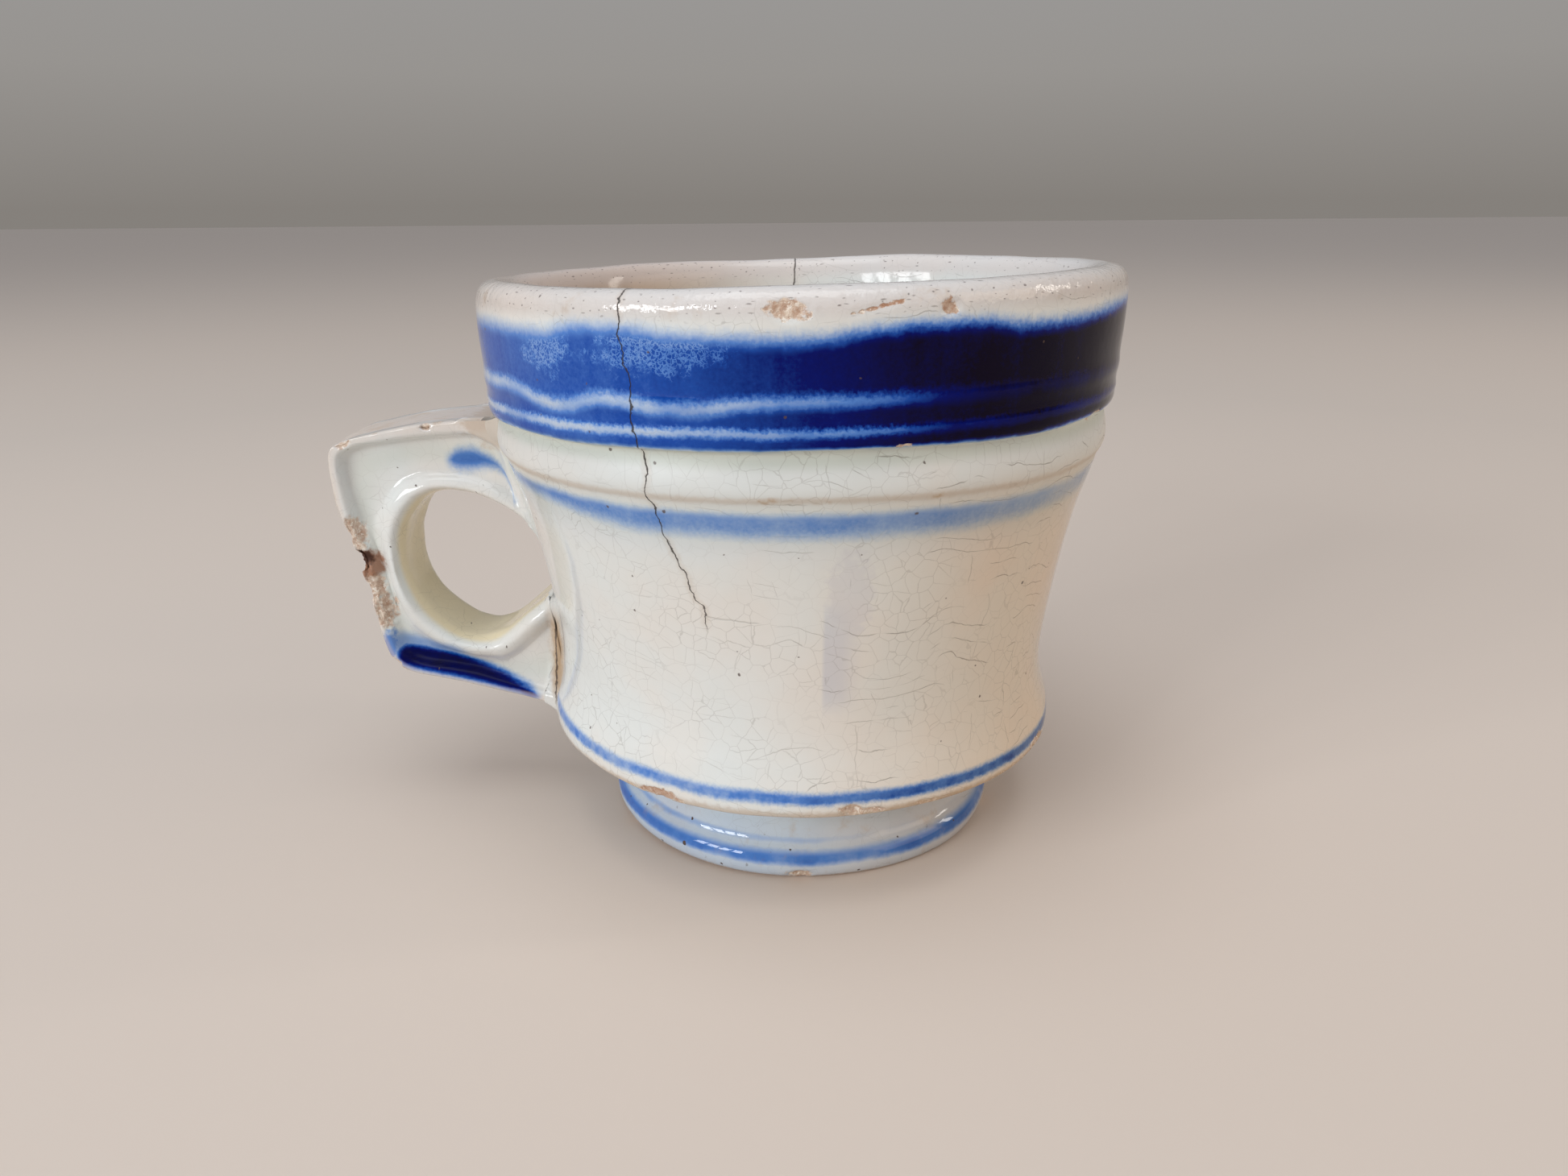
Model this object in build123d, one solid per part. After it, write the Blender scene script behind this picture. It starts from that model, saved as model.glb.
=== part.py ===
"""Handled stoneware mug with a collared rim and a luted foot, in millimetres.

+Z is up, the cup's axis is Z, the foot stands on Z = 0 and the handle points along -X.
Every piece that the potter makes on its own is one solid in one node.
"""
import os

from build123d import *

# Driving dimensions
RIM_RADIUS = 50.0  # outside of the collar at the lip
HEIGHT = 91.0  # foot to lip
WALL = 4.8  # at the waist
SLIP = 0.6  # thickness of the clay slip that joins the pieces
QUARTER_BEND = 1 - 0.5**0.5  # how far the middle of a quarter circle is from its corner, per radius

# Collar: the thick band below the lip
COLLAR_BOTTOM_Z = 72.0
COLLAR_BOTTOM_RADIUS = 49.4
COLLAR_EDGE = 0.7  # how far inward the lower edge is rounded
COLLAR_EDGE_RISE = 1.3  # how far up it is rounded
COLLAR_EDGE_MIDDLE = (0.35, 0.2)  # middle of that rounding, inward and up
COLLAR_HOLLOW = 0.15  # how much the side's middle is inside the lip
LIP_CENTRE_RADIUS = 46.6  # highest circle of the rolled lip
LIP_ROLL_Z = 86.5  # where the collar's side turns into the lip
LIP_INNER_RADIUS = 43.6
LIP_INNER_Z = 87.6

# Cordon: the thin raised band below the collar
NECK_RADIUS = 48.1  # groove between collar and cordon
NECK_Z = 70.9
CORDON_RADIUS = 48.6
CORDON_Z = 67.8
CORDON_FOOT_RADIUS = 47.6
CORDON_FOOT_Z = 63.6
CORDON_LEDGE_Z = 65.2  # top of the slope under the cordon
CORDON_LEDGE = 0.35  # how far that slope stops short of the cordon's radius
CORDON_BEND_Z = 66.8  # middle of the cordon's round face
CORDON_BEND = 0.05  # how far that middle is inside the cordon's radius

# Waisted wall
UPPER_WALL_RADIUS = 45.9
UPPER_WALL_Z = 57.5
MIDDLE_WALL_RADIUS = 43.3
MIDDLE_WALL_Z = 47.0
WAIST_RADIUS = 41.2
WAIST_Z = 29.5
SKIRT_RADIUS = 43.2  # the flared lower edge
SKIRT_TOP_Z = 20.8
SKIRT_BOTTOM_Z = 17.4
SKIRT_EDGE = 1.0  # how far the underside's edge is rounded back
SKIRT_DROP = 0.3  # how far that edge hangs below the skirt's side
SKIRT_TAPER = 0.15  # how much the skirt narrows towards its top
UNDERSIDE_BEND = (1.8, 1.6)  # middle of the curve beside the foot, outward and up from the neck
UNDERSIDE_BEND_END = (4.6, 2.4)

# Inside
FLOOR_Z = 19.5
FLOOR_CORNER = 9.0  # radius between floor and wall
INNER_TOP_RADIUS = 43.0
INNER_TOP_Z = 82.0

# Foot ring
FOOT_TOP_Z = 12.0
FOOT_NECK_RADIUS = 31.0
FOOT_BEAD_RADIUS = 33.4
FOOT_BEAD_Z = 2.6
FOOT_GROOVE_RADIUS = 31.9
FOOT_GROOVE_Z = 5.4
FOOT_EDGE_RADIUS = 32.6  # where the bead meets the table
FOOT_INNER_RADIUS = 27.0
FOOT_INNER_TOP_RADIUS = 26.0
FOOT_INNER_EDGE = 1.2  # bevel inside the standing face
BEAD_ROUND = [(0.2, 1.3), (0.1, 3.6), (0.5, 4.5)]  # inward from the bead's radius, and height
FOOT_NECK_BEND = (0.3, 7.0)  # outward from the neck's radius, and height
FOOT_NECK_BEND_Z = 9.5  # where the neck turns straight

# Handle: a flat block with a finger hole, in the XZ plane
HANDLE_HALF_THICKNESS = 8.0
HANDLE_EDGE = 1.8  # rounding of its long edges
HANDLE_OUTLINE = [(38.0, 68.6), (60.0, 68.4), (76.9, 64.6), (76.4, 55.0), (71.8, 26.2), (38.0, 16.9)]
OUTLINE_ROUNDING = {1: 30.0, 2: 4.5, 3: 40.0, 4: 4.5}  # corner number: radius
HOLE_POINTS = [
    (67.4, 45.0),
    (65.4, 52.4),
    (60.0, 56.4),
    (53.0, 56.1),
    (38.0, 46.0),
    (44.6, 33.6),
    (54.0, 30.7),
    (63.6, 34.8),
]
PANEL_DEPTH = 1.2  # how far each face is sunk between its border and the bead round the hole
PANEL_OUTLINE = [
    (48.6, 65.3),
    (60.0, 65.2),
    (73.4, 61.8),
    (73.0, 55.0),
    (69.2, 28.8),
    (44.4, 21.9),
    (44.4, 55.0),
]
PANEL_ROUNDING = 2.0
BEAD_WIDTH = 3.0
POCKET_CLEARANCE = 1.0  # how far the tool that cuts the panel starts outside the face


def corner_arc(start, middle, end):
    """A round stretch of a profile through three points of the XZ plane, given as (radius, height)."""
    return ThreePointArc(*[(radius, 0, height) for radius, height in (start, middle, end)])


def straight(start, end):
    return Line((start[0], 0, start[1]), (end[0], 0, end[1]))


def curve(points, start_slope, end_slope):
    """A smooth stretch of a profile. The slopes are (radius, height) directions at its ends."""
    return Spline(
        [(radius, 0, height) for radius, height in points],
        tangents=[(slope[0], 0, slope[1]) for slope in (start_slope, end_slope)],
    )


def turned(edges):
    """The solid that a closed profile in the XZ plane sweeps round the cup's axis."""
    return revolve(make_face(Wire(edges)), Axis.Z, 360)


def wall_edges(extra=0.0):
    """The cup's outside from under the skirt up to the groove below the collar, moved out by extra."""
    skirt = SKIRT_RADIUS + extra
    waist = WAIST_RADIUS + extra
    cordon = CORDON_RADIUS + extra
    neck = NECK_RADIUS + extra
    bend = SKIRT_EDGE * QUARTER_BEND
    skirt_edge = (skirt - SKIRT_EDGE, SKIRT_BOTTOM_Z - SKIRT_DROP)
    skirt_bend = (skirt - bend, SKIRT_BOTTOM_Z + bend)
    skirt_low = (skirt, SKIRT_BOTTOM_Z + SKIRT_EDGE)
    skirt_top = (skirt - SKIRT_TAPER, SKIRT_TOP_Z)
    middle_wall = (MIDDLE_WALL_RADIUS + extra, MIDDLE_WALL_Z)
    upper_wall = (UPPER_WALL_RADIUS + extra, UPPER_WALL_Z)
    cordon_foot = (CORDON_FOOT_RADIUS + extra, CORDON_FOOT_Z)
    cordon_ledge = (cordon - CORDON_LEDGE, CORDON_LEDGE_Z)
    cordon_bend = (cordon - CORDON_BEND, CORDON_BEND_Z)
    return [
        corner_arc(skirt_edge, skirt_bend, skirt_low),
        straight(skirt_low, skirt_top),
        curve([skirt_top, (waist, WAIST_Z)], (-0.2, 1), (0, 1)),
        curve([(waist, WAIST_Z), middle_wall, upper_wall, cordon_foot], (0, 1), (0.25, 1)),
        straight(cordon_foot, cordon_ledge),
        corner_arc(cordon_ledge, cordon_bend, (cordon, CORDON_Z)),
        straight((cordon, CORDON_Z), (neck, NECK_Z)),
    ]


def underside_edges():
    """The hollow underside between the foot's neck and the skirt."""
    top = FOOT_TOP_Z + SLIP
    neck_end = (FOOT_NECK_RADIUS, top)
    bend = (FOOT_NECK_RADIUS + UNDERSIDE_BEND[0], top + UNDERSIDE_BEND[1])
    bend_end = (FOOT_NECK_RADIUS + UNDERSIDE_BEND_END[0], top + UNDERSIDE_BEND_END[1])
    skirt_edge = (SKIRT_RADIUS - SKIRT_EDGE, SKIRT_BOTTOM_Z - SKIRT_DROP)
    return [corner_arc(neck_end, bend, bend_end), straight(bend_end, skirt_edge)]


def collar_edges():
    """The collar's underside, side and outer lip, up to the top of the lip."""
    step = (COLLAR_BOTTOM_RADIUS - COLLAR_EDGE, COLLAR_BOTTOM_Z)
    bend = (COLLAR_BOTTOM_RADIUS - COLLAR_EDGE_MIDDLE[0], COLLAR_BOTTOM_Z + COLLAR_EDGE_MIDDLE[1])
    side_start = (COLLAR_BOTTOM_RADIUS, COLLAR_BOTTOM_Z + COLLAR_EDGE_RISE)
    side_middle = (RIM_RADIUS - COLLAR_HOLLOW, (COLLAR_BOTTOM_Z + LIP_ROLL_Z) / 2)
    side_end = (RIM_RADIUS, LIP_ROLL_Z)
    return [
        straight((NECK_RADIUS, NECK_Z), step),
        corner_arc(step, bend, side_start),
        curve([side_start, side_middle, side_end], (0.05, 1), (0, 1)),
        curve([side_end, (LIP_CENTRE_RADIUS, HEIGHT)], (0, 1), (-1, 0)),
    ]


def inside_edges():
    """The lip's inner roll, the inner wall and the floor, from the top of the lip down to the axis."""
    lip_inner = (LIP_INNER_RADIUS, LIP_INNER_Z)
    wall_foot_radius = WAIST_RADIUS - WALL
    wall_foot = (wall_foot_radius, FLOOR_Z + FLOOR_CORNER)
    bend = FLOOR_CORNER * QUARTER_BEND
    floor_bend = (wall_foot_radius - bend, FLOOR_Z + bend)
    floor_edge = (wall_foot_radius - FLOOR_CORNER, FLOOR_Z)
    return [
        curve([(LIP_CENTRE_RADIUS, HEIGHT), lip_inner], (-1, 0), (-0.12, -1)),
        curve([lip_inner, (INNER_TOP_RADIUS, INNER_TOP_Z), wall_foot], (-0.12, -1), (0, -1)),
        corner_arc(wall_foot, floor_bend, floor_edge),
        straight(floor_edge, (0, FLOOR_Z)),
    ]


def cup_body():
    """The cup: collar, cordon, waisted wall and floor in one piece of clay."""
    underside_z = FOOT_TOP_Z + SLIP
    floor_edges = [
        straight((0, FLOOR_Z), (0, underside_z)),
        straight((0, underside_z), (FOOT_NECK_RADIUS, underside_z)),
    ]
    return turned(underside_edges() + wall_edges() + collar_edges() + inside_edges() + floor_edges)


def wall_lump(extra=0.0):
    """The outside of the wall as a filled solid, moved out by extra, to trim what is stuck onto it."""
    bottom_z = SKIRT_BOTTOM_Z - SKIRT_DROP
    bottom_edges = [
        straight((NECK_RADIUS + extra, NECK_Z), (0, NECK_Z)),
        straight((0, NECK_Z), (0, bottom_z)),
        straight((0, bottom_z), (SKIRT_RADIUS + extra - SKIRT_EDGE, bottom_z)),
    ]
    return turned(wall_edges(extra) + bottom_edges)


def foot_ring():
    """The turned foot: an unglazed standing face, a bead, a groove and a plain neck."""
    standing_outer = (FOOT_EDGE_RADIUS, 0)
    standing_inner = (FOOT_INNER_RADIUS + FOOT_INNER_EDGE, 0)
    inner_low = (FOOT_INNER_RADIUS, FOOT_INNER_EDGE)
    inner_top = (FOOT_INNER_TOP_RADIUS, FOOT_TOP_Z)
    bead = (FOOT_BEAD_RADIUS, FOOT_BEAD_Z)
    bead_low, bead_high, bead_top = [(FOOT_BEAD_RADIUS - inward, height) for inward, height in BEAD_ROUND]
    groove = (FOOT_GROOVE_RADIUS, FOOT_GROOVE_Z)
    neck_bend = (FOOT_NECK_RADIUS + FOOT_NECK_BEND[0], FOOT_NECK_BEND[1])
    neck = (FOOT_NECK_RADIUS, FOOT_NECK_BEND_Z)
    neck_top = (FOOT_NECK_RADIUS, FOOT_TOP_Z)
    return turned(
        [
            straight(standing_inner, standing_outer),
            corner_arc(standing_outer, bead_low, bead),
            corner_arc(bead, bead_high, bead_top),
            straight(bead_top, groove),
            corner_arc(groove, neck_bend, neck),
            straight(neck, neck_top),
            straight(neck_top, inner_top),
            straight(inner_top, inner_low),
            straight(inner_low, standing_inner),
        ]
    )


def foot_slip():
    """The thin ring of slip between the foot and the cup."""
    ring = Circle(FOOT_NECK_RADIUS) - Circle(FOOT_INNER_TOP_RADIUS)
    return Pos(0, 0, FOOT_TOP_Z) * extrude(ring, SLIP)


def handle_plane(points):
    """Points given as (distance from the axis, height) as points of the XZ plane, on the -X side."""
    return [(-distance, 0, height) for distance, height in points]


def finger_hole(extra=0.0):
    """The outline of the finger hole, with its points moved out from its middle by extra."""
    middle = sum((Vector(*point) for point in HOLE_POINTS), Vector()) / len(HOLE_POINTS)
    rays = [Vector(*point) - middle for point in HOLE_POINTS]
    moved = [middle + ray * (1 + extra / ray.length) for ray in rays]
    outline = Spline(handle_plane([(point.X, point.Y) for point in moved]), periodic=True)
    return make_face(Wire([outline]))


def handle_block():
    """The pressed handle with its ends still running into the cup."""
    face = make_face(Wire.make_polygon(handle_plane(HANDLE_OUTLINE)))
    for number, radius in OUTLINE_ROUNDING.items():
        corner = Vector(*handle_plane([HANDLE_OUTLINE[number]])[0])
        face = fillet(face.vertices().sort_by_distance(corner)[0], radius)
    block = extrude(face - finger_hole(), HANDLE_HALF_THICKNESS, dir=(0, 1, 0), both=True)
    faces = block.faces().sort_by(Axis.Y)
    block = fillet(faces[0].edges() + faces[-1].edges(), HANDLE_EDGE)
    panel = make_face(Wire.make_polygon(handle_plane(PANEL_OUTLINE)))
    panel = fillet(panel.vertices(), PANEL_ROUNDING) - finger_hole(BEAD_WIDTH)
    for side in (-1, 1):
        pocket = extrude(panel, PANEL_DEPTH + POCKET_CLEARANCE, dir=(0, side, 0))
        block -= Pos(0, side * (HANDLE_HALF_THICKNESS - PANEL_DEPTH), 0) * pocket
    return block


def handle_and_slips():
    """The handle trimmed to the cup, and the slip that fills the gap at its upper and lower ends."""
    block = handle_block()
    wall = wall_lump()
    wall_with_slip = wall_lump(SLIP)
    slips = ((block & wall_with_slip) - wall).solids().sort_by(Axis.Z)
    handle = (block - wall_with_slip).solids().sort_by(Axis.X)[0]
    return handle, slips[-1], slips[0]


def main():
    os.makedirs("parts", exist_ok=True)
    handle, upper_slip, lower_slip = handle_and_slips()
    nodes = {
        "cup_body": cup_body(),
        "foot_ring": foot_ring(),
        "foot_slip": foot_slip(),
        "handle": handle,
        "upper_handle_slip": upper_slip,
        "lower_handle_slip": lower_slip,
    }
    for name, shape in nodes.items():
        export_step(shape, f"parts/{name}.step")
        print(name, "valid", shape.is_valid, "volume", round(shape.volume, 1))


main()
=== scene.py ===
import math
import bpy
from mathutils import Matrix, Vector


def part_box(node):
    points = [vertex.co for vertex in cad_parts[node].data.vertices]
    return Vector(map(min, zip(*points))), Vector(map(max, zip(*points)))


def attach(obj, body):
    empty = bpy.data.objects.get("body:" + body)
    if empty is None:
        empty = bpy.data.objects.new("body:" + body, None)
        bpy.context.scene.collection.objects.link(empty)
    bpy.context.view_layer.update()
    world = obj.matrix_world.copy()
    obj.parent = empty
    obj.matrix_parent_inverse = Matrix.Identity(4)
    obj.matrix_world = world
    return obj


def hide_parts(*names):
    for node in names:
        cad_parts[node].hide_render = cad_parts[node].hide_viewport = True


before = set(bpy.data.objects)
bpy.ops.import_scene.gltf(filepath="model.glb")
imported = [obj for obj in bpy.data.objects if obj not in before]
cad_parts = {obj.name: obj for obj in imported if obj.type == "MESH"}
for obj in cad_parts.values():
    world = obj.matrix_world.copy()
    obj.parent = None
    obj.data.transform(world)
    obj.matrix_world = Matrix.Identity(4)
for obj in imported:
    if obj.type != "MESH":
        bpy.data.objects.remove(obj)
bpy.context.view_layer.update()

from types import SimpleNamespace

import bmesh
import bpy
import numpy as np
from mathutils import Matrix, Vector

# Lengths in the tables below are millimetres, as (distance from the cup's axis, height). Angles round
# the cup are degrees: 0 is the front (-Y), 90 is +X, and the handle is at -90.
MM = 0.001
RIM_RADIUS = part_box("cup_body")[1][0] / MM
RIM_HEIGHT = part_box("cup_body")[1][2] / MM
UNDERSIDE_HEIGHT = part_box("cup_body")[0][2] / MM
FOOT_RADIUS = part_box("foot_ring")[1][0] / MM
FOOT_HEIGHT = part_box("foot_ring")[1][2] / MM
HANDLE_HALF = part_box("handle")[1][1] / MM
FRONT_RADIUS = 45.0  # turns an angle round the cup into a length along its surface
LENGTH_PER_DEGREE = math.pi / 180 * FRONT_RADIUS

OUTSIDE = [
    (31.0, UNDERSIDE_HEIGHT), (31.5, 14.2), (34.5, 15.3), (39.0, 16.1), (42.3, 16.8), (43.2, 17.6),
    (43.3, 19.0), (43.1, 20.9), (42.1, 23.7), (41.4, 27.0), (41.15, 30.5), (41.3, 34.5), (42.0, 40.0),
    (43.1, 46.0), (44.3, 52.0), (45.8, 57.8), (46.9, 61.3), (47.5, 63.4), (47.8, 64.7), (48.5, 65.5),
    (48.8, 66.6), (48.6, 68.3), (48.2, 69.8), (47.9, 70.9), (48.1, 71.4), (48.8, 71.5), (49.4, 71.9),
    (49.5, 72.8), (49.5, 73.5), (49.66, 73.9), (49.52, 74.5), (49.55, 75.7), (49.74, 76.6), (49.78, 77.6),
    (49.68, 78.6), (49.72, 80.0), (49.9, 82.5), (RIM_RADIUS, 85.0), (RIM_RADIUS, 87.6), (49.7, 89.5),
    (48.8, 90.6), (47.4, RIM_HEIGHT),
]
INSIDE = [
    (46.0, RIM_HEIGHT), (44.7, 90.5), (43.8, 89.1), (43.2, 86.5), (42.7, 82.0), (41.8, 75.0), (40.4, 66.0),
    (38.9, 55.0), (37.5, 45.0), (36.6, 36.0), (36.3, 29.0), (35.3, 24.5), (32.6, 21.2), (28.5, 19.7),
    (20.0, 19.5), (6.0, 19.5),
]
FOOT = [
    (26.0, FOOT_HEIGHT), (26.3, 6.0), (26.8, 2.0), (27.6, 0.4), (29.0, 0.0), (32.0, 0.0), (33.0, 0.5),
    (33.6, 2.0), (33.4, 3.7), (32.6, 4.8), (31.7, 5.4), (31.2, 6.4), (30.8, 8.0), (30.6, 10.0),
    (30.8, FOOT_HEIGHT), (30.0, FOOT_HEIGHT + 0.4),
]
UNDERSIDE = [(4.0, UNDERSIDE_HEIGHT), (12.0, UNDERSIDE_HEIGHT), (22.0, UNDERSIDE_HEIGHT)]
# How far the shape rises towards +X and towards +Y, as rise per length, at a few heights.
LEAN = [
    (20.0, -0.013, 0.0), (47.0, -0.007, 0.0), (64.0, 0.0, 0.0), (72.0, 0.0126, -0.004),
    (88.0, 0.0189, -0.010),
]
# Waves round the pot that make it a little out of true: their number, share of the radius and turn.
OUT_OF_TRUE = [(2, 0.0016, 0.8), (3, 0.0009, 2.1)]
# Unevenness of each surface: depth, size of the lumps and seed of their random draws.
CUP_UNEVEN = [(0.16, 46.0, 1), (0.05, 13.0, 2)]
FOOT_UNEVEN = [(0.07, 20.0, 3)]
HANDLE_UNEVEN = [(0.13, 17.0, 8), (0.05, 6.0, 9)]

# How finely the pieces are cut up, round the axis and along the handle. Along a profile the first row
# that holds gives the step: lowest height, highest height, least radius and step.
CUP_SEGMENTS = 460
FOOT_SEGMENTS = 384
FOOT_SLIP_SEGMENTS = 256
HANDLE_ROWS = 340
CUP_STEPS = [
    (86.0, 100.0, 42.0, 0.42), (61.0, 100.0, 45.5, 0.40), (0.0, 22.5, 40.0, 0.36), (0.0, 100.0, 41.0, 1.15),
    (0.0, 100.0, 0.0, 2.6),
]
FOOT_STEPS = [(0.0, 100.0, 28.0, 0.45), (0.0, 100.0, 0.0, 0.9)]

# The handle's outer edge and finger hole, point by matching point from the upper root to the lower.
HANDLE_OUTER = [
    (44.0, 68.6), (49.5, 68.6), (56.0, 68.3), (63.0, 67.5), (69.8, 66.3), (74.4, 65.2), (76.5, 63.6),
    (76.7, 59.8), (76.2, 54.6), (75.0, 49.0), (73.5, 42.4), (72.4, 35.4), (71.4, 30.0), (70.0, 26.4),
    (67.2, 24.6), (62.0, 23.4), (55.5, 21.9), (49.0, 20.2), (43.5, 18.8), (39.5, 17.9),
]
HANDLE_HOLE = [
    (40.5, 48.0), (44.8, 51.0), (49.5, 54.0), (54.0, 55.8), (58.4, 56.3), (61.5, 55.4), (63.6, 53.6),
    (65.2, 51.4), (66.3, 48.9), (66.8, 46.1), (66.8, 42.7), (66.0, 39.6), (64.6, 36.9), (62.8, 34.7),
    (60.6, 32.7), (57.9, 31.0), (54.5, 30.4), (50.8, 31.7), (47.0, 34.9), (42.2, 38.9),
]
HOLE_BEAD = 4.2  # width of the raised bead round the hole, at most
HOLE_BEAD_SHARE = 0.40  # and at most this share of the way to the outer edge
BORDER = 2.7  # width of the raised border
PANEL_DEPTH = 2.2
ROOT_SPREAD = 1.0  # how much wider the handle grows on each side at its two roots
ROOT_SPREAD_ENDS = (0.02, 0.16)  # where that starts and ends, as shares of the handle's length

FILL_REACH = (0.3, 2.6)  # how far from the cup the sunk panel is filled up, from wholly to not at all
UPPER_FILL = 6.0  # how much further that reaches along the handle's top edge
UPPER_FILL_HEIGHT = (61.5, 69.0)
DEEPEST_FILLED = 3.2

SLIP_REACH = 1.9  # how far the slip in a corner reaches along both surfaces
SLIP_UNEVEN = 0.35
SLIP_HIDDEN = 0.5  # how deep its back lies below the surfaces
SLIP_BULGE = 0.12  # how far its hollow face stands off the corner, per reach
SLIP_RINGS = 9
SLIP_ROWS_AHEAD = 6  # how many rows further the handle's direction at the corner is taken


def rounded(points, closed=False):
    """A line through corner points, with its corners cut three times."""
    line = np.array(points, float)
    for _ in range(3):
        start = line if closed else line[:-1]
        end = np.roll(line, -1, axis=0) if closed else line[1:]
        cut = np.empty((2 * len(start), line.shape[1]))
        cut[0::2] = 0.75 * start + 0.25 * end
        cut[1::2] = 0.25 * start + 0.75 * end
        line = cut if closed else np.vstack([line[:1], cut, line[-1:]])
    return line


def through(points, count):
    """A smooth line of that many points through the given points."""
    knots = np.array(points, float)
    ends = np.vstack([2 * knots[0] - knots[1], knots, 2 * knots[-1] - knots[-2]])
    place = np.linspace(0, len(knots) - 1, count)
    left = np.minimum(place.astype(int), len(knots) - 2)
    t = (place - left)[:, None]
    before, here, there, after = (ends[left + step] for step in range(4))
    return 0.5 * (
        2 * here
        + (there - before) * t
        + (2 * before - 5 * here + 4 * there - after) * t**2
        + (3 * here - before - 3 * there + after) * t**3
    )


def respaced(line, steps):
    """The same line with points as far apart as the first row of steps that holds there says."""
    lengths = np.hypot(*np.diff(line, axis=0).T)
    middles = (line[1:] + line[:-1]) / 2
    wanted = [
        next(step for low, high, least, step in steps if low <= height <= high and radius >= least)
        for radius, height in middles
    ]
    place = np.concatenate([[0], np.cumsum(lengths / np.array(wanted))])
    evenly = np.linspace(0, place[-1], int(place[-1]) + 2)
    return np.stack([np.interp(evenly, place, column) for column in line.T], axis=1)


def lumps(points, size, seed):
    """Smooth random bumps of that size, from about -1 to 1."""
    chance = np.random.default_rng(seed)
    total = np.zeros(points.shape[:-1])
    waves = 14
    for _ in range(waves):
        direction = chance.normal(size=3)
        direction *= chance.uniform(0.6, 1.5) * 2 * math.pi / size / np.linalg.norm(direction)
        total += np.sin(points @ direction + chance.uniform(0, 2 * math.pi))
    return total / math.sqrt(waves)


def length_along(line):
    return np.concatenate([[0], np.cumsum(np.linalg.norm(np.diff(line, axis=0), axis=1))])


def smoothstep(value, low, high):
    t = np.clip((value - low) / (high - low), 0, 1)
    return t * t * (3 - 2 * t)


def unit(directions):
    return directions / np.linalg.norm(directions, axis=1, keepdims=True)


def linked(name, data):
    thing = bpy.data.objects.new(name, data)
    bpy.context.scene.collection.objects.link(thing)
    return thing


def outward(mesh):
    """Turns the mesh's faces so that they all look out."""
    shape = bmesh.new()
    shape.from_mesh(mesh)
    bmesh.ops.recalc_face_normals(shape, faces=shape.faces)
    shape.to_mesh(mesh)
    shape.free()


def grid_piece(name, points, ring, marks):
    """A mesh piece from a grid of points whose rows go all the way round, with shading marks at its points.

    In a ring the last row joins the first, and otherwise a flat face closes each of them.
    """
    index = np.arange(points[..., 0].size).reshape(points.shape[:2])
    here, down = (index, np.roll(index, -1, axis=0)) if ring else (index[:-1], index[1:])
    corners = [here, np.roll(here, -1, axis=1), np.roll(down, -1, axis=1), down]
    faces = np.stack(corners, axis=-1).reshape(-1, 4).tolist()
    if not ring:
        faces += [index[0].tolist(), index[-1].tolist()[::-1]]
    mesh = bpy.data.meshes.new(name)
    mesh.from_pydata((points.reshape(-1, 3) * MM).tolist(), [], faces)
    for mark, values in marks.items():
        layer = mesh.attributes.new(mark, "FLOAT", "POINT")
        layer.data.foreach_set("value", np.ascontiguousarray(values, dtype=np.float32).ravel())
    mesh.shade_smooth()
    mesh.validate()
    outward(mesh)
    return linked(name, mesh)


def lean_at(height, x, y):
    heights, slopes_x, slopes_y = zip(*LEAN)
    return np.interp(height, heights, slopes_x) * x + np.interp(height, heights, slopes_y) * y


def round_points(profile, segments):
    """The profile turned round the axis, a little out of true."""
    angles = np.linspace(0, 2 * math.pi, segments, endpoint=False)
    radius = profile[:, :1] * np.ones_like(angles)
    height = profile[:, 1:] * np.ones_like(angles)
    radius = radius * (1 + sum(share * np.sin(waves * angles + turn) for waves, share, turn in OUT_OF_TRUE))
    x, y = radius * np.cos(angles), radius * np.sin(angles)
    points = np.stack([x, y, height + lean_at(height, x, y)], axis=-1)
    return points, height


def make_uneven(points, normals, unevenness):
    points += normals * sum(depth * lumps(points, size, seed) for depth, size, seed in unevenness)[..., None]


def spots_on(points, normals, spots):
    """Chips: points near each spot are pushed in. Returns the wear: over 0.5 in a chip, and sloping off."""
    worn = np.zeros(points.shape[:-1])
    rough = lumps(points, 1.7, 5) * 0.5 + lumps(points, 0.9, 6) * 0.3
    for centre, size, depth in spots:
        away = np.linalg.norm((points - np.array(centre)) / np.array(size), axis=-1)
        mask = 1 - smoothstep(away + 0.22 * rough, 0.55, 1.0)
        points -= normals * (mask * depth * (1 + 0.35 * rough))[..., None]
        worn = np.maximum(worn, 1.5 - away)
    return worn


def grid_normals(points):
    """Outward directions of a grid of points whose rows go round an axis."""
    along = np.gradient(points, axis=0)
    across = np.roll(points, -1, axis=1) - np.roll(points, 1, axis=1)
    normals = np.cross(across, along)
    return normals / np.maximum(np.linalg.norm(normals, axis=-1, keepdims=True), 1e-9)


def on_cup(angle, height, radius):
    """The place at an angle round the cup, a height and a radius."""
    turn = math.radians(angle)
    return (radius * math.sin(turn), -radius * math.cos(turn), height)


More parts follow.
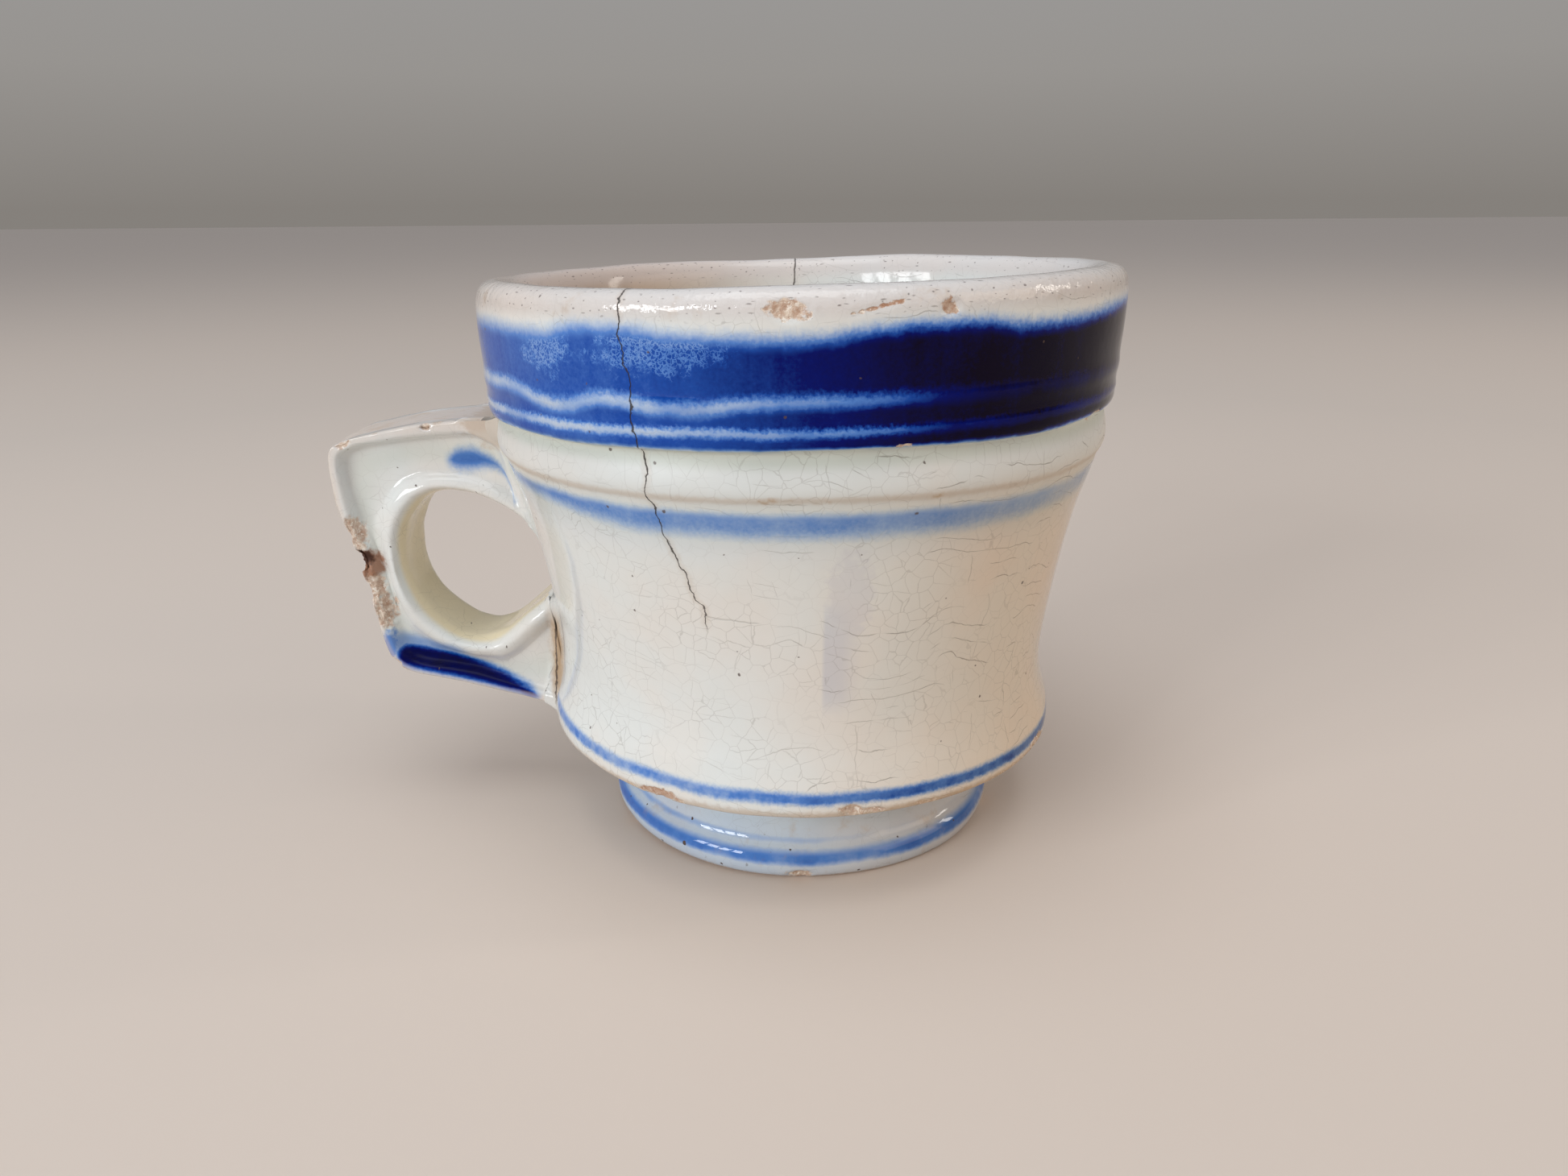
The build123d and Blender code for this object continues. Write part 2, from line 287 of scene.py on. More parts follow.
# Chips: middle, size along x, y and z, and depth.
CUP_CHIPS = [
    (on_cup(-1.6, 88.8, 49.5), (2.9, 2.0, 1.5), 0.4),
    (on_cup(21.2, 88.9, 49.6), (1.2, 1.2, 1.1), 0.6),
    (on_cup(-29.5, 18.0, 43.2), (4.6, 3.2, 1.3), 0.45),
    (on_cup(9.6, 17.9, 43.1), (2.0, 1.4, 1.2), 0.7),
    (on_cup(13.6, 17.7, 43.1), (2.2, 1.4, 0.6), 0.4),
    (on_cup(62.0, 17.9, 43.0), (3.0, 3.0, 1.0), 0.5),
    (on_cup(128.0, 17.8, 43.0), (3.4, 3.4, 1.1), 0.6),
    (on_cup(-150.0, 17.9, 43.1), (2.4, 2.4, 1.1), 0.6),
    (on_cup(58.0, 71.9, 49.5), (2.4, 2.4, 0.9), 0.35),
    (on_cup(15.5, 72.0, 49.6), (1.6, 1.2, 0.7), 0.25),
    (on_cup(104.0, 90.0, 48.9), (1.5, 3.0, 1.3), 0.5),
    (on_cup(165.0, 90.2, 48.6), (2.6, 1.5, 1.2), 0.5),
    (on_cup(-128.0, 89.8, 49.0), (2.0, 2.0, 1.2), 0.4),
]
SCRATCH_STEPS = 9
SCRATCH_START = (7.4, 88.5)  # angle and height
SCRATCH_LENGTH = (6.4, 1.3)
SCRATCH_SIZE = (0.75, 0.75, 0.34)
SCRATCH_DEPTH = 0.22
FOOT_CHIPS = [
    (on_cup(-0.5, 1.0, 33.4), (2.4, 1.6, 0.9), 0.5),
    (on_cup(-62.0, 0.9, 33.2), (1.8, 1.8, 0.9), 0.5),
    (on_cup(75.0, 0.8, 33.2), (1.6, 2.6, 0.9), 0.5),
    (on_cup(170.0, 0.9, 33.2), (3.0, 1.6, 0.9), 0.5),
]
HANDLE_CHIPS = [
    ((-73.6, -HANDLE_HALF, 49.6), (2.3, 3.0, 3.5), 0.5),
    ((-73.4, -HANDLE_HALF, 44.8), (2.1, 3.2, 2.2), 1.2),
    ((-71.7, -HANDLE_HALF, 40.0), (2.3, 3.0, 3.3), 0.6),
    ((-70.2, -HANDLE_HALF, 35.8), (2.4, 3.0, 3.6), 0.6),
    ((-60.0, -HANDLE_HALF, 67.4), (0.8, 1.2, 0.7), 0.9),
    ((-74.2, -HANDLE_HALF, 64.9), (1.8, 1.6, 1.3), 0.35),
    ((-70.2, -HANDLE_HALF, 26.2), (1.6, 1.4, 1.3), 0.35),
    ((-75.6, HANDLE_HALF, 57.0), (1.4, 2.0, 4.0), 0.5),
    ((-72.4, HANDLE_HALF, 33.0), (1.6, 2.0, 4.4), 0.5),
    ((-66.0, HANDLE_HALF, 66.6), (2.4, 1.6, 1.0), 0.5),
]


def scratch():
    """A shallow scratch on the lip, as a row of small chips."""
    steps = np.linspace(0, 1, SCRATCH_STEPS)
    places = np.array(SCRATCH_START) + steps[:, None] * np.array(SCRATCH_LENGTH)
    return [(on_cup(angle, height, 49.4), SCRATCH_SIZE, SCRATCH_DEPTH) for angle, height in places]


def turned_piece(name, profile, ring, segments, unevenness, chips, marks):
    """A piece turned from its profile, with the marks of each point of the profile carried round."""
    points, height = round_points(profile, segments)
    normals = grid_normals(points)
    make_uneven(points, normals, unevenness)
    points[..., 2] = np.maximum(points[..., 2], 0.0)
    worn = spots_on(points, normals, chips)
    marks = {mark: values[:, None] * np.ones(segments) for mark, values in marks.items()}
    return grid_piece(name, points, ring, {"height": height, "worn": worn, **marks})


def cup_piece():
    """The cup body: outside, rolled lip, inside and floor."""
    profile = np.vstack([UNDERSIDE, respaced(rounded(OUTSIDE + INSIDE), CUP_STEPS)])
    inner = np.arange(len(profile)) >= np.argmax(profile[:, 1])
    marks = {"run": length_along(profile), "inner": inner}
    return turned_piece("glazed_cup", profile, False, CUP_SEGMENTS, CUP_UNEVEN, CUP_CHIPS + scratch(), marks)


def foot_piece():
    """The turned foot with its bead, groove and standing face."""
    line = rounded(FOOT, closed=True)
    profile = respaced(np.vstack([line, line[:1]]), FOOT_STEPS)[:-1]
    marks = {"run": length_along(profile)}
    return turned_piece("glazed_foot", profile, True, FOOT_SEGMENTS, FOOT_UNEVEN, FOOT_CHIPS, marks)


def handle_section(length, half_width):
    """Half of the handle's cross-section, from the hole's wall to the outer edge.

    Points are (distance from the hole's wall, distance from the handle's middle plane).
    """
    bead = min(HOLE_BEAD, HOLE_BEAD_SHARE * length)
    face = half_width - PANEL_DEPTH
    border = length - BORDER
    return [
        (0.3, 0.0), (0.0, 0.5 * half_width), (0.15, half_width - 2.7), (0.9, half_width - 1.0),
        (0.45 * bead, half_width - 0.25), (0.8 * bead, half_width - 0.8), (bead + 0.2, face + 0.5),
        (bead + 1.2, face), (border - 1.0, face), (border - 0.1, face + 0.6),
        (length - 0.75 * BORDER, half_width - 0.1), (length - 0.30 * BORDER, half_width),
        (length - 0.15, half_width - 0.15), (length, half_width - 0.9), (length - 0.1, 0.5 * half_width),
        (length - 0.05, 0.0),
    ]


def flush_at_roots(place, sideways, half_width):
    """Fills the sunk panel up to the border's level close to the cup."""
    clear = np.hypot(place[:, 0], sideways) - cup_radius(place[:, 1])
    clear -= UPPER_FILL * smoothstep(place[:, 1], *UPPER_FILL_HEIGHT) ** 2
    sunk = half_width - np.abs(sideways)
    raised = np.where(sunk < DEEPEST_FILLED, sunk * (1 - smoothstep(clear, *FILL_REACH)), 0.0)
    return np.sign(sideways) * (np.abs(sideways) + raised)


def handle_points():
    """The handle's surface as a grid, with a row for each cross-section from the upper root down."""
    outer = through(HANDLE_OUTER, HANDLE_ROWS)
    hole = through(HANDLE_HOLE, HANDLE_ROWS)
    grid, across_face = [], []
    for row in range(HANDLE_ROWS):
        share = row / (HANDLE_ROWS - 1)
        spread = 1 - smoothstep(min(share, 1 - share), *ROOT_SPREAD_ENDS)
        half_width = HANDLE_HALF + ROOT_SPREAD * spread
        ray = outer[row] - hole[row]
        length = np.hypot(*ray)
        half = np.array(handle_section(length, half_width))
        loop = rounded(np.vstack([half, (half * (1, -1))[-2:0:-1]]), closed=True)
        place = hole[row] + ray / length * loop[:, :1]
        sideways = flush_at_roots(place, loop[:, 1], half_width)
        grid.append(np.column_stack([-place[:, 0], -sideways, place[:, 1]]))
        across_face.append(loop[:, 0] / length)
    return np.array(grid), np.array(across_face)


def handle_piece():
    """The press-moulded handle with its border, sunk panel and finger hole."""
    points, across = handle_points()
    normals = grid_normals(points)
    middle = points.mean(axis=1, keepdims=True)
    if np.mean(np.sum(normals * (points - middle), axis=-1)) < 0:
        normals = -normals
    make_uneven(points, normals, HANDLE_UNEVEN)
    worn = spots_on(points, normals, HANDLE_CHIPS)
    run = np.repeat(length_along(through(HANDLE_OUTER, len(points)))[:, None], points.shape[1], axis=1)
    girth = np.array([length_along(row) for row in points])
    marks = {"across": across, "worn": worn, "run": run, "girth": girth}
    return grid_piece("pressed_handle", points, False, marks)


def cup_radius(height):
    """The cup's outside radius at a height between the skirt and the collar."""
    line = rounded(OUTSIDE)
    return np.interp(height, line[:, 1], line[:, 0])


def root_corner(order):
    """Where the handle's lines meet the cup, with the ways along them and out of the cup."""
    clear = np.hypot(order[..., 0], order[..., 1]) - cup_radius(order[..., 2])
    row = np.clip(np.argmax(clear > 0, axis=0), 1, len(order) - 1)
    column = np.arange(order.shape[1])
    share = clear[row, column] / (clear[row, column] - clear[row - 1, column])
    corner = order[row, column] + (order[row - 1, column] - order[row, column]) * share[:, None]
    ahead = np.minimum(row + SLIP_ROWS_AHEAD, len(order) - 1)
    along_handle = unit(order[ahead, column] - corner)
    return corner, along_handle, unit(corner * (1, 1, 0))


def root_slip(name, points, upper):
    """The slip in the corner where one end of the handle meets the cup."""
    corner, along_handle, out = root_corner(points if upper else points[::-1])
    reach = (SLIP_REACH + SLIP_UNEVEN * lumps(corner, 9.0, 12 if upper else 13))[:, None]
    away = corner - corner.mean(axis=0)
    away = unit(away - out * np.sum(away * out, axis=1, keepdims=True))
    on_handle = corner + along_handle * reach
    on_wall = corner + away * reach
    wall_radius = cup_radius(on_wall[:, 2]) + 0.04
    on_wall[:, :2] *= (wall_radius / np.hypot(on_wall[:, 0], on_wall[:, 1]))[:, None]
    bend = corner + (along_handle + away) * SLIP_BULGE * reach
    rings = [
        (1 - t) ** 2 * on_handle + 2 * t * (1 - t) * bend + t**2 * on_wall
        for t in np.linspace(0, 1, SLIP_RINGS)
    ]
    rings.append(on_wall - out * SLIP_HIDDEN)
    rings.append(corner - (out + away) * SLIP_HIDDEN)
    rings.append(on_handle - away * SLIP_HIDDEN)
    return grid_piece(name, np.array(rings), True, {})


def foot_slip():
    """The slip in the corner between the foot's neck and the cup's underside."""
    line = rounded([
        (30.6, FOOT_HEIGHT - 0.8), (31.15, FOOT_HEIGHT - 0.7), (31.4, FOOT_HEIGHT + 0.4),
        (32.0, FOOT_HEIGHT + 2.0), (31.6, FOOT_HEIGHT + 2.4), (30.6, FOOT_HEIGHT + 1.4),
    ], closed=True)
    points, _ = round_points(line, FOOT_SLIP_SEGMENTS)
    return grid_piece("foot_slip_ring", points, True, {})


def fill_ramp(ramp, stops):
    """Sets a colour ramp's stops, given as (place, colour)."""
    while len(ramp.elements) < len(stops):
        ramp.elements.new(0.5)
    for element, (place, colour) in zip(ramp.elements, stops):
        element.position = place
        element.color = (*colour, 1)


class Value:
    """A number from a shader node that adds and scales like a plain one."""

    def __init__(self, nodes, socket):
        self.nodes, self.socket = nodes, socket

    def __neg__(self):
        return self * -1.0

    def __abs__(self):
        return self.nodes.math("ABSOLUTE", self)

    def step(self, low, high):
        """0 below low, 1 above high, and a soft change between."""
        inputs = {"Value": self, "From Min": low, "From Max": high}
        node = self.nodes.add("MapRange", inputs, interpolation_type="SMOOTHSTEP")
        return Value(self.nodes, node.outputs["Result"])

    def fall(self, low, high):
        """1 below low, 0 above high, and a soft change between."""
        return 1.0 - self.step(low, high)

    def band(self, low, high, soft):
        """1 from low to high and 0 outside, with soft edges."""
        return self.step(low - soft, low + soft) - self.step(high - soft, high + soft)


def operator(operation, swapped):
    def joined(self, other):
        first, second = (other, self) if swapped else (self, other)
        return self.nodes.math(operation, first, second)
    return joined


for word, operation in (("add", "ADD"), ("sub", "SUBTRACT"), ("mul", "MULTIPLY")):
    setattr(Value, f"__{word}__", operator(operation, False))
    setattr(Value, f"__r{word}__", operator(operation, True))


def highest(*values):
    top = values[0]
    for value in values[1:]:
        top = top.nodes.math("MAXIMUM", top, value)
    return top


class Nodes:
    """The node tree of one material. Places are in millimetres in the row's frame."""

    def __init__(self, name):
        self.material = bpy.data.materials.new(name)
        self.material.use_nodes = True
        self.tree = self.material.node_tree
        self.shader = self.tree.nodes["Principled BSDF"]
        coordinates = self.tree.nodes.new("ShaderNodeTexCoord")
        self.place = self.scaled(coordinates.outputs["Object"], (1 / MM, 1 / MM, 1 / MM))
        parts = self.add("SeparateXYZ", {"Vector": self.place})
        self.x, self.y, self.z = (Value(self, parts.outputs[name]) for name in "XYZ")

    def add(self, kind, inputs, **settings):
        node = self.tree.nodes.new("ShaderNode" + kind)
        for name, setting in settings.items():
            setattr(node, name, setting)
        for name, value in inputs.items():
            self.feed(node.inputs[name], value)
        return node

    def feed(self, socket, value):
        if isinstance(value, Value):
            value = value.socket
        if isinstance(value, bpy.types.NodeSocket):
            self.tree.links.new(value, socket)
        elif isinstance(value, tuple) and len(value) == 3 and socket.type == "RGBA":
            socket.default_value = (*value, 1)
        else:
            socket.default_value = value

    def math(self, operation, first, second=0.0):
        node = self.add("Math", {0: first, 1: second}, operation=operation)
        return Value(self, node.outputs[0])

    def scaled(self, place, factors):
        return self.add("VectorMath", {0: place, 1: factors}, operation="MULTIPLY").outputs[0]

    def moved(self, place, amount, size):
        """The place shaken by noise of that size, by up to that amount."""
        cloud = self.add("TexNoise", {"Vector": place, "Scale": 1 / size, "Detail": 2.0}).outputs["Color"]
        shift = self.add("VectorMath", {0: cloud, 1: (0.5, 0.5, 0.5)}, operation="SUBTRACT").outputs[0]
        shift = self.scaled(shift, (2 * amount, 2 * amount, 2 * amount))
        return self.add("VectorMath", {0: place, 1: shift}, operation="ADD").outputs[0]

    def mark(self, name):
        return Value(self, self.add("Attribute", {}, attribute_name=name).outputs["Fac"])

    def noise(self, size, detail=3.0, place=None, rough=0.55, seed=0.0):
        """Cloudy noise from 0 to 1 with lumps of that size."""
        place = self.place if place is None else place
        if seed:
            place = self.add("VectorMath", {0: place, 1: (seed, seed, seed)}, operation="ADD").outputs[0]
        inputs = {"Vector": place, "Scale": 1 / size, "Detail": detail, "Roughness": rough}
        return Value(self, self.add("TexNoise", inputs).outputs["Fac"])

    def sway(self, size, detail, place=None, seed=0.0):
        """Cloudy noise from -0.5 to 0.5."""
        return self.noise(size, detail, place, seed=seed) - 0.5

    def soil(self, size, seed, low, high):
        """Patches of rough noise: 0 where it is below low, and 1 above high."""
        return self.noise(size, 4.0, rough=0.7, seed=seed).step(low, high)

    def cracks(self, size, width, place):
        """A net of lines round cells of that size: 1 on a line and 0 off it."""
        inputs = {"Vector": place, "Scale": 1 / size}
        edge = self.add("TexVoronoi", inputs, feature="DISTANCE_TO_EDGE").outputs["Distance"]
        return (Value(self, edge) * size).fall(0.25 * width, width)

    def dots(self, along, up, spacing, size, share):
        """Scattered specks, one in each of a share of the cells of a surface with lengths along and up."""
        place = self.add("CombineXYZ", {"X": along, "Y": up}).outputs["Vector"]
        place = self.moved(place, 0.24, 0.6)
        cell = self.add("TexVoronoi", {"Vector": place, "Scale": 1 / spacing}, voronoi_dimensions="2D")
        tint = self.add("SeparateXYZ", {"Vector": cell.outputs["Color"]})
        chosen = Value(self, tint.outputs["X"]).step(1 - share, 1.02 - share)
        reach = Value(self, tint.outputs["Y"])
        reach = (reach * reach * 0.65 + 0.35) * size
        distance = Value(self, cell.outputs["Distance"]) * spacing
        return chosen * (distance - reach).fall(-0.08, 0.08)

    def follow(self, value, points):
        """A smooth function of the value through the given points."""
        points = np.array(points, float)
        low, high = points.min(axis=0), points.max(axis=0)
        curve = self.tree.nodes.new("ShaderNodeFloatCurve")
        line = curve.mapping.curves[0]
        for spot, (along, up) in enumerate((points - low) / (high - low)):
            if spot == 0 or spot == len(points) - 1:
                line.points[0 if spot == 0 else -1].location = (along, up)
            else:
                line.points.new(along, up)
        curve.mapping.update()
        place = self.add("MapRange", {"Value": value, "From Min": low[0], "From Max": high[0]})
        self.tree.links.new(place.outputs["Result"], curve.inputs["Value"])
        return Value(self, curve.outputs["Value"]) * float(high[1] - low[1]) + float(low[1])

    def ramp(self, value, stops):
        node = self.add("ValToRGB", {"Fac": value})
        fill_ramp(node.color_ramp, stops)
        return node.outputs["Color"]

    def blend(self, amount, first, second, how="MIX"):
        node = self.tree.nodes.new("ShaderNodeMix")
        node.data_type = "RGBA"
        node.blend_type = how
        node.clamp_factor = True
        for socket, value in ((0, amount), (6, first), (7, second)):
            self.feed(node.inputs[socket], value)
        return node.outputs[2]

    def layered(self, colour, *layers):
        """The colour with others laid over it, each given as (amount, colour)."""
        for amount, over in layers:
            colour = self.blend(amount, colour, over)
        return colour

    def blob(self, across, up, size_across, size_up, ragged):
        """A ragged patch: 1 in its middle and 0 outside."""
        first = self.math("POWER", abs(across * (1 / size_across)), 2.0)
        second = self.math("POWER", abs(up * (1 / size_up)), 2.0)
        return (self.math("SQRT", first + second) + ragged).fall(0.55, 1.0)

    def blobs(self, across, up, spots, ragged):
        """Ragged patches, each given by its middle, its two sizes and its strength."""
        return highest(*(
            self.blob(across - middle, up - height, size_across, size_up, ragged) * strength
            for middle, height, size_across, size_up, strength in spots
        ))

    def finish(self, colour, roughness, relief, shine):
        """Joins colour, roughness, relief in millimetres and shine to the shader."""
        self.feed(self.shader.inputs["Base Color"], colour)
        self.feed(self.shader.inputs["Roughness"], roughness)
        self.feed(self.shader.inputs["Specular IOR Level"], shine)
        bump = self.add("Bump", {"Height": relief, "Distance": MM})
        self.tree.links.new(bump.outputs["Normal"], self.shader.inputs["Normal"])
        self.shader.inputs["IOR"].default_value = 1.46
        return self.material


# Cobalt under the glaze filters the white below it, from none to the thickest.
COBALT = [
    (0.00, (1.0, 1.0, 1.0)), (0.12, (0.76, 0.84, 0.97)), (0.28, (0.42, 0.58, 0.93)),
    (0.45, (0.10, 0.28, 0.80)), (0.62, (0.007, 0.085, 0.50)), (0.80, (0.000, 0.006, 0.18)),
    (1.00, (0.004, 0.001, 0.016)),
]
WHITE_COOL = (0.745, 0.775, 0.76)
WHITE_WARM = (0.77, 0.745, 0.70)
WHITE_MOTTLE = (0.62, 0.60, 0.54)
# Green-grey of glaze pooled in hollows, also used as painted shade there.
POOL_AND_SHADE_TINT = (0.60, 0.65, 0.58)
BISCUIT_PALE = (0.80, 0.69, 0.57)
BISCUIT_DARK = (0.53, 0.35, 0.25)
SAND = (0.90, 0.82, 0.72)
GRIME = (0.10, 0.07, 0.045)
STAIN = (0.43, 0.27, 0.13)
SPECK = (0.09, 0.06, 0.05)
# Brown of the inside: tea stain together with painted shade.
TEA_STAIN_AND_SHADE = (0.48, 0.34, 0.24)
# Warm tan of the painted shade on the cup's right side.
RIGHT_SIDE_SHADE = (0.87, 0.66, 0.46)
# Grey-mauve of the painted reflection streak on the wall.
PAINTED_REFLECTION_TINT = (0.50, 0.48, 0.55)
# Grey of the painted shade on the neck under the collar.
PAINTED_NECK_SHADE = (0.84, 0.84, 0.84)
LIP_TINT = (0.65, 0.575, 0.555)
RUSTY_CHIP = (0.42, 0.19, 0.10)
LONG_CRACK = (0.035, 0.025, 0.02)
ROOT_CRACK = (0.05, 0.03, 0.02)
# Grey-brown of the painted shade on the foot's right side.
PAINTED_FOOT_SHADE = (0.72, 0.66, 0.64)
# Warm tan of the painted shade in the handle's finger hole.
HOLE_WALL_SHADE_TINT = (0.80, 0.68, 0.43)
BORDER_TINT = (0.70, 0.57, 0.49)
RUST = (0.31, 0.115, 0.04)
PIT = (0.07, 0.022, 0.010)
SHINE = 0.5  # how strongly plain glaze mirrors
SHINE_LOST = 0.40  # and how much less over the darkest cobalt


def glaze_shine(cobalt):
    """How strongly the glaze mirrors: least where the cobalt is thick."""
    return SHINE - cobalt.step(0.30, 0.85) * SHINE_LOST


def glaze_colour(nodes, cobalt, pool_and_shade):
    """White glaze over cobalt, with slow changes of tone, and greener and darker in hollows and under
    overhangs: partly glaze that pooled there, partly painted shade.
    """
    warm = nodes.noise(26.0, seed=3.0).step(0.38, 0.66)
    mottle = nodes.noise(1.3, 2.0, seed=5.0) * 0.12
    white = nodes.layered(WHITE_COOL, (warm, WHITE_WARM), (mottle, WHITE_MOTTLE), (pool_and_shade, POOL_AND_SHADE_TINT))
    return nodes.blend(1.0, white, nodes.ramp(cobalt, COBALT), "MULTIPLY")


def hair_lines(value, spacing, width):
    """Thin lines where the value passes each multiple of the spacing."""
    return value.nodes.math("PINGPONG", value, spacing / 2).fall(0.2 * width, width)


def crazing(nodes, cobalt):
    """The net of hair cracks: faint everywhere, with long level ones towards +X."""
    shaken = nodes.moved(nodes.moved(nodes.place, 0.7, 5.0), 0.16, 0.9)
    patches = nodes.noise(13.0, 2.0, seed=11.0).step(0.40, 0.64)
    fine = nodes.cracks(2.3, 0.065, shaken) * (0.06 + patches * 0.17)
    right = nodes.x.step(-16.0, 14.0)
    wobble = nodes.noise(24.0, 2.0, seed=12.0) * 14.0 + nodes.noise(5.0, 2.0, seed=13.0) * 1.6
    wobble = wobble + nodes.noise(1.1, 2.0, seed=14.0) * 0.34
    flat = nodes.scaled(nodes.place, (0.35, 0.35, 1.0))
    level = hair_lines(nodes.z + nodes.x * 0.08 + wobble, 2.3, 0.085)
    level = level * nodes.noise(3.6, 2.0, flat, seed=17.0).step(0.50, 0.60) * (0.16 + right * 0.40)
    thin = nodes.scaled(nodes.place, (1.0, 1.0, 0.35))
    upright = hair_lines(nodes.x + wobble, 3.7, 0.08)
    upright = upright * nodes.noise(3.6, 2.0, thin, seed=18.0).step(0.57, 0.64) * (0.18 + right * 0.16)
    return highest(fine, level, upright) * cobalt.fall(0.05, 0.45)


def weathered(nodes, colour, worn, specks, stain, hair):
    """Adds hair cracks, stains, specks and bare sandy clay to a glaze's colour."""
    grain = nodes.soil(0.9, 23.0, 0.35, 0.68)
    sand = nodes.noise(0.6, 2.0, seed=27.0).step(0.56, 0.66)
    bare = nodes.layered(BISCUIT_DARK, (grain, BISCUIT_PALE), (sand, SAND))
    return nodes.layered(colour, (hair, GRIME), (stain, STAIN), (specks, SPECK), (worn, bare))


def glaze_relief(nodes, worn, hair, crack):
    """Heights: a gently uneven glaze, fine grooves, and grit where it is worn off."""
    skin = nodes.noise(5.0, 2.0, seed=31.0) * 0.05 + nodes.noise(1.4, 2.0, seed=37.0) * 0.012
    grit = (nodes.noise(0.7, 4.0, rough=0.7, seed=41.0) - 0.7) * worn * 0.30
    return skin + grit - hair * 0.02 - crack * 0.16


# The blue band's upper edge and the pale line in it, as (angle, height), and the long crack's path,
# as (height, angle).
TOP_EDGE = [
    (-180, 86.2), (-150, 85.5), (-120, 86.7), (-90, 86.0), (-61, 86.3), (-43, 85.9), (-33, 87.0),
    (-20, 86.1), (-8, 85.6), (-1, 85.4), (6, 85.8), (14, 86.4), (24, 86.6), (37, 85.5), (57, 86.1),
    (90, 86.8), (120, 85.6), (150, 86.6), (180, 86.2),
]
PALE_LINE = [
    (-180, 77.6), (-120, 77.0), (-90, 78.0), (-55, 78.1), (-39, 76.5), (-30, 77.9), (-19, 77.0),
    (-8, 77.7), (12, 77.9), (36, 77.8), (80, 77.3), (130, 78.0), (180, 77.6),
]
CRACK = [
    (45.0, -17.3), (48.8, -17.5), (49.6, -18.6), (53.3, -20.3), (57.8, -22.0), (62.8, -23.3),
    (65.8, -24.0), (67.2, -23.6), (71.0, -24.7), (79.8, -25.3), (84.7, -26.0), (91.0, -26.2),
]


# Heights on the cup, as a soft step (start, end) or as a band (bottom, top, softness of its edges)
LIP = (86.5, 89.0)
COLLAR_BOTTOM = (71.2, 72.4)
COLLAR_TOP = (-2.2, 1.5)  # from TOP_EDGE
COLLAR_LINE = (-0.9, 0.7, 0.9)  # from PALE_LINE
COLLAR_LOWER_LINE = (73.4, 74.5, 0.5)
NECK = (63.5, 71.5, 1.0)
NECK_GROOVE = (69.5, 71.9, 0.9)
CORDON_EDGE = (64.9, 65.8, 0.35)
# Under the cordon: pooled glaze and painted shade.
WALL_TOP_POOL_AND_SHADE = (59.0, 64.0, 2.0)
UPPER_LINE_BOTTOM = (59.9, 63.3)
UPPER_LINE_TOP = (62.6, 64.3)
UPPER_LINE_BLEED = (54.0, 62.5)
# Heights and left edge of the painted reflection streak on the wall, right of the front.
REFLECTION_STREAK_HEIGHT = (33.5, 49.5, 2.0)
REFLECTION_STREAK_LEFT = (2.9, 3.6)  # length round the front
REFLECTION_VEIL_HEIGHT = (34.5, 48.0, 4.0)
LOWER_LINE = (19.4, 21.1, 0.6)
SKIRT_EDGE = (16.8, 18.2, 0.5)
SKIRT_SCUFFS = (17.1, 18.0, 0.3)
FOOT_JOINT = (12.0, 14.2, 0.8)
CUP_FLOOR = (20.0, 30.0)
CRACK_END = (44.5, 47.0)
CRACK_END_INSIDE = (74.0, 79.0)
DARKEST_ANGLE = 56.0  # where the collar's cobalt is thickest
# Patches on the cup: length round the front, height, reach along both, and strength
FROST = [(-32.5, 83.4, 5.4, 3.3, 1.0), (-16.5, 83.6, 9.5, 3.0, 1.0), (78.0, 83.0, 12.0, 3.2, 1.0)]
# A painted reflection: a tall grey-mauve patch right of the front.
PAINTED_REFLECTION_SPOTS = [(6.9, 51.0, 4.0, 8.5, 0.26)]
RUSTY_SPOTS = [
    (8.6, 89.1, 3.6, 1.3, 0.75), (1.2, 88.8, 3.0, 1.8, 0.15), (16.6, 88.6, 1.5, 1.5, 0.30),
    (-23.2, 17.9, 5.5, 1.8, 0.45),
]


def cup_surface(nodes):
    """Where a point of the cup is: its height, angle, length round the front and so on."""
    height, inner = nodes.mark("height"), nodes.mark("inner")
    outside = 1.0 - inner
    angle = nodes.math("ARCTAN2", nodes.x, -nodes.y) * (180 / math.pi)
    return SimpleNamespace(
        height=height, angle=angle, along=angle * LENGTH_PER_DEGREE, inner=inner, outside=outside,
        lip=height.step(*LIP), neck=height.band(*NECK) * outside,
        fray=nodes.sway(1.2, 3.0, seed=71.0),
    )


def brush_marks(nodes):
    return SimpleNamespace(
        wander=nodes.sway(8.0, 2.0, seed=51.0), flutter=nodes.sway(1.8, 3.0, seed=53.0),
        grain=nodes.sway(0.5, 2.0, seed=55.0), soak=nodes.sway(16.0, 3.0, seed=57.0),
        streaks=nodes.sway(3.0, 3.0, nodes.scaled(nodes.place, (1.0, 1.0, 0.12)), seed=59.0),
    )


def frosting(nodes, cup):
    ragged = (nodes.noise(2.2, 5.0, rough=0.75, seed=67.0) - 0.5) * 2.4
    branches = nodes.cracks(0.55, 0.11, nodes.moved(nodes.place, 0.45, 0.5))
    return nodes.blobs(cup.along, cup.height, FROST, ragged) * (0.08 + branches * 0.92)


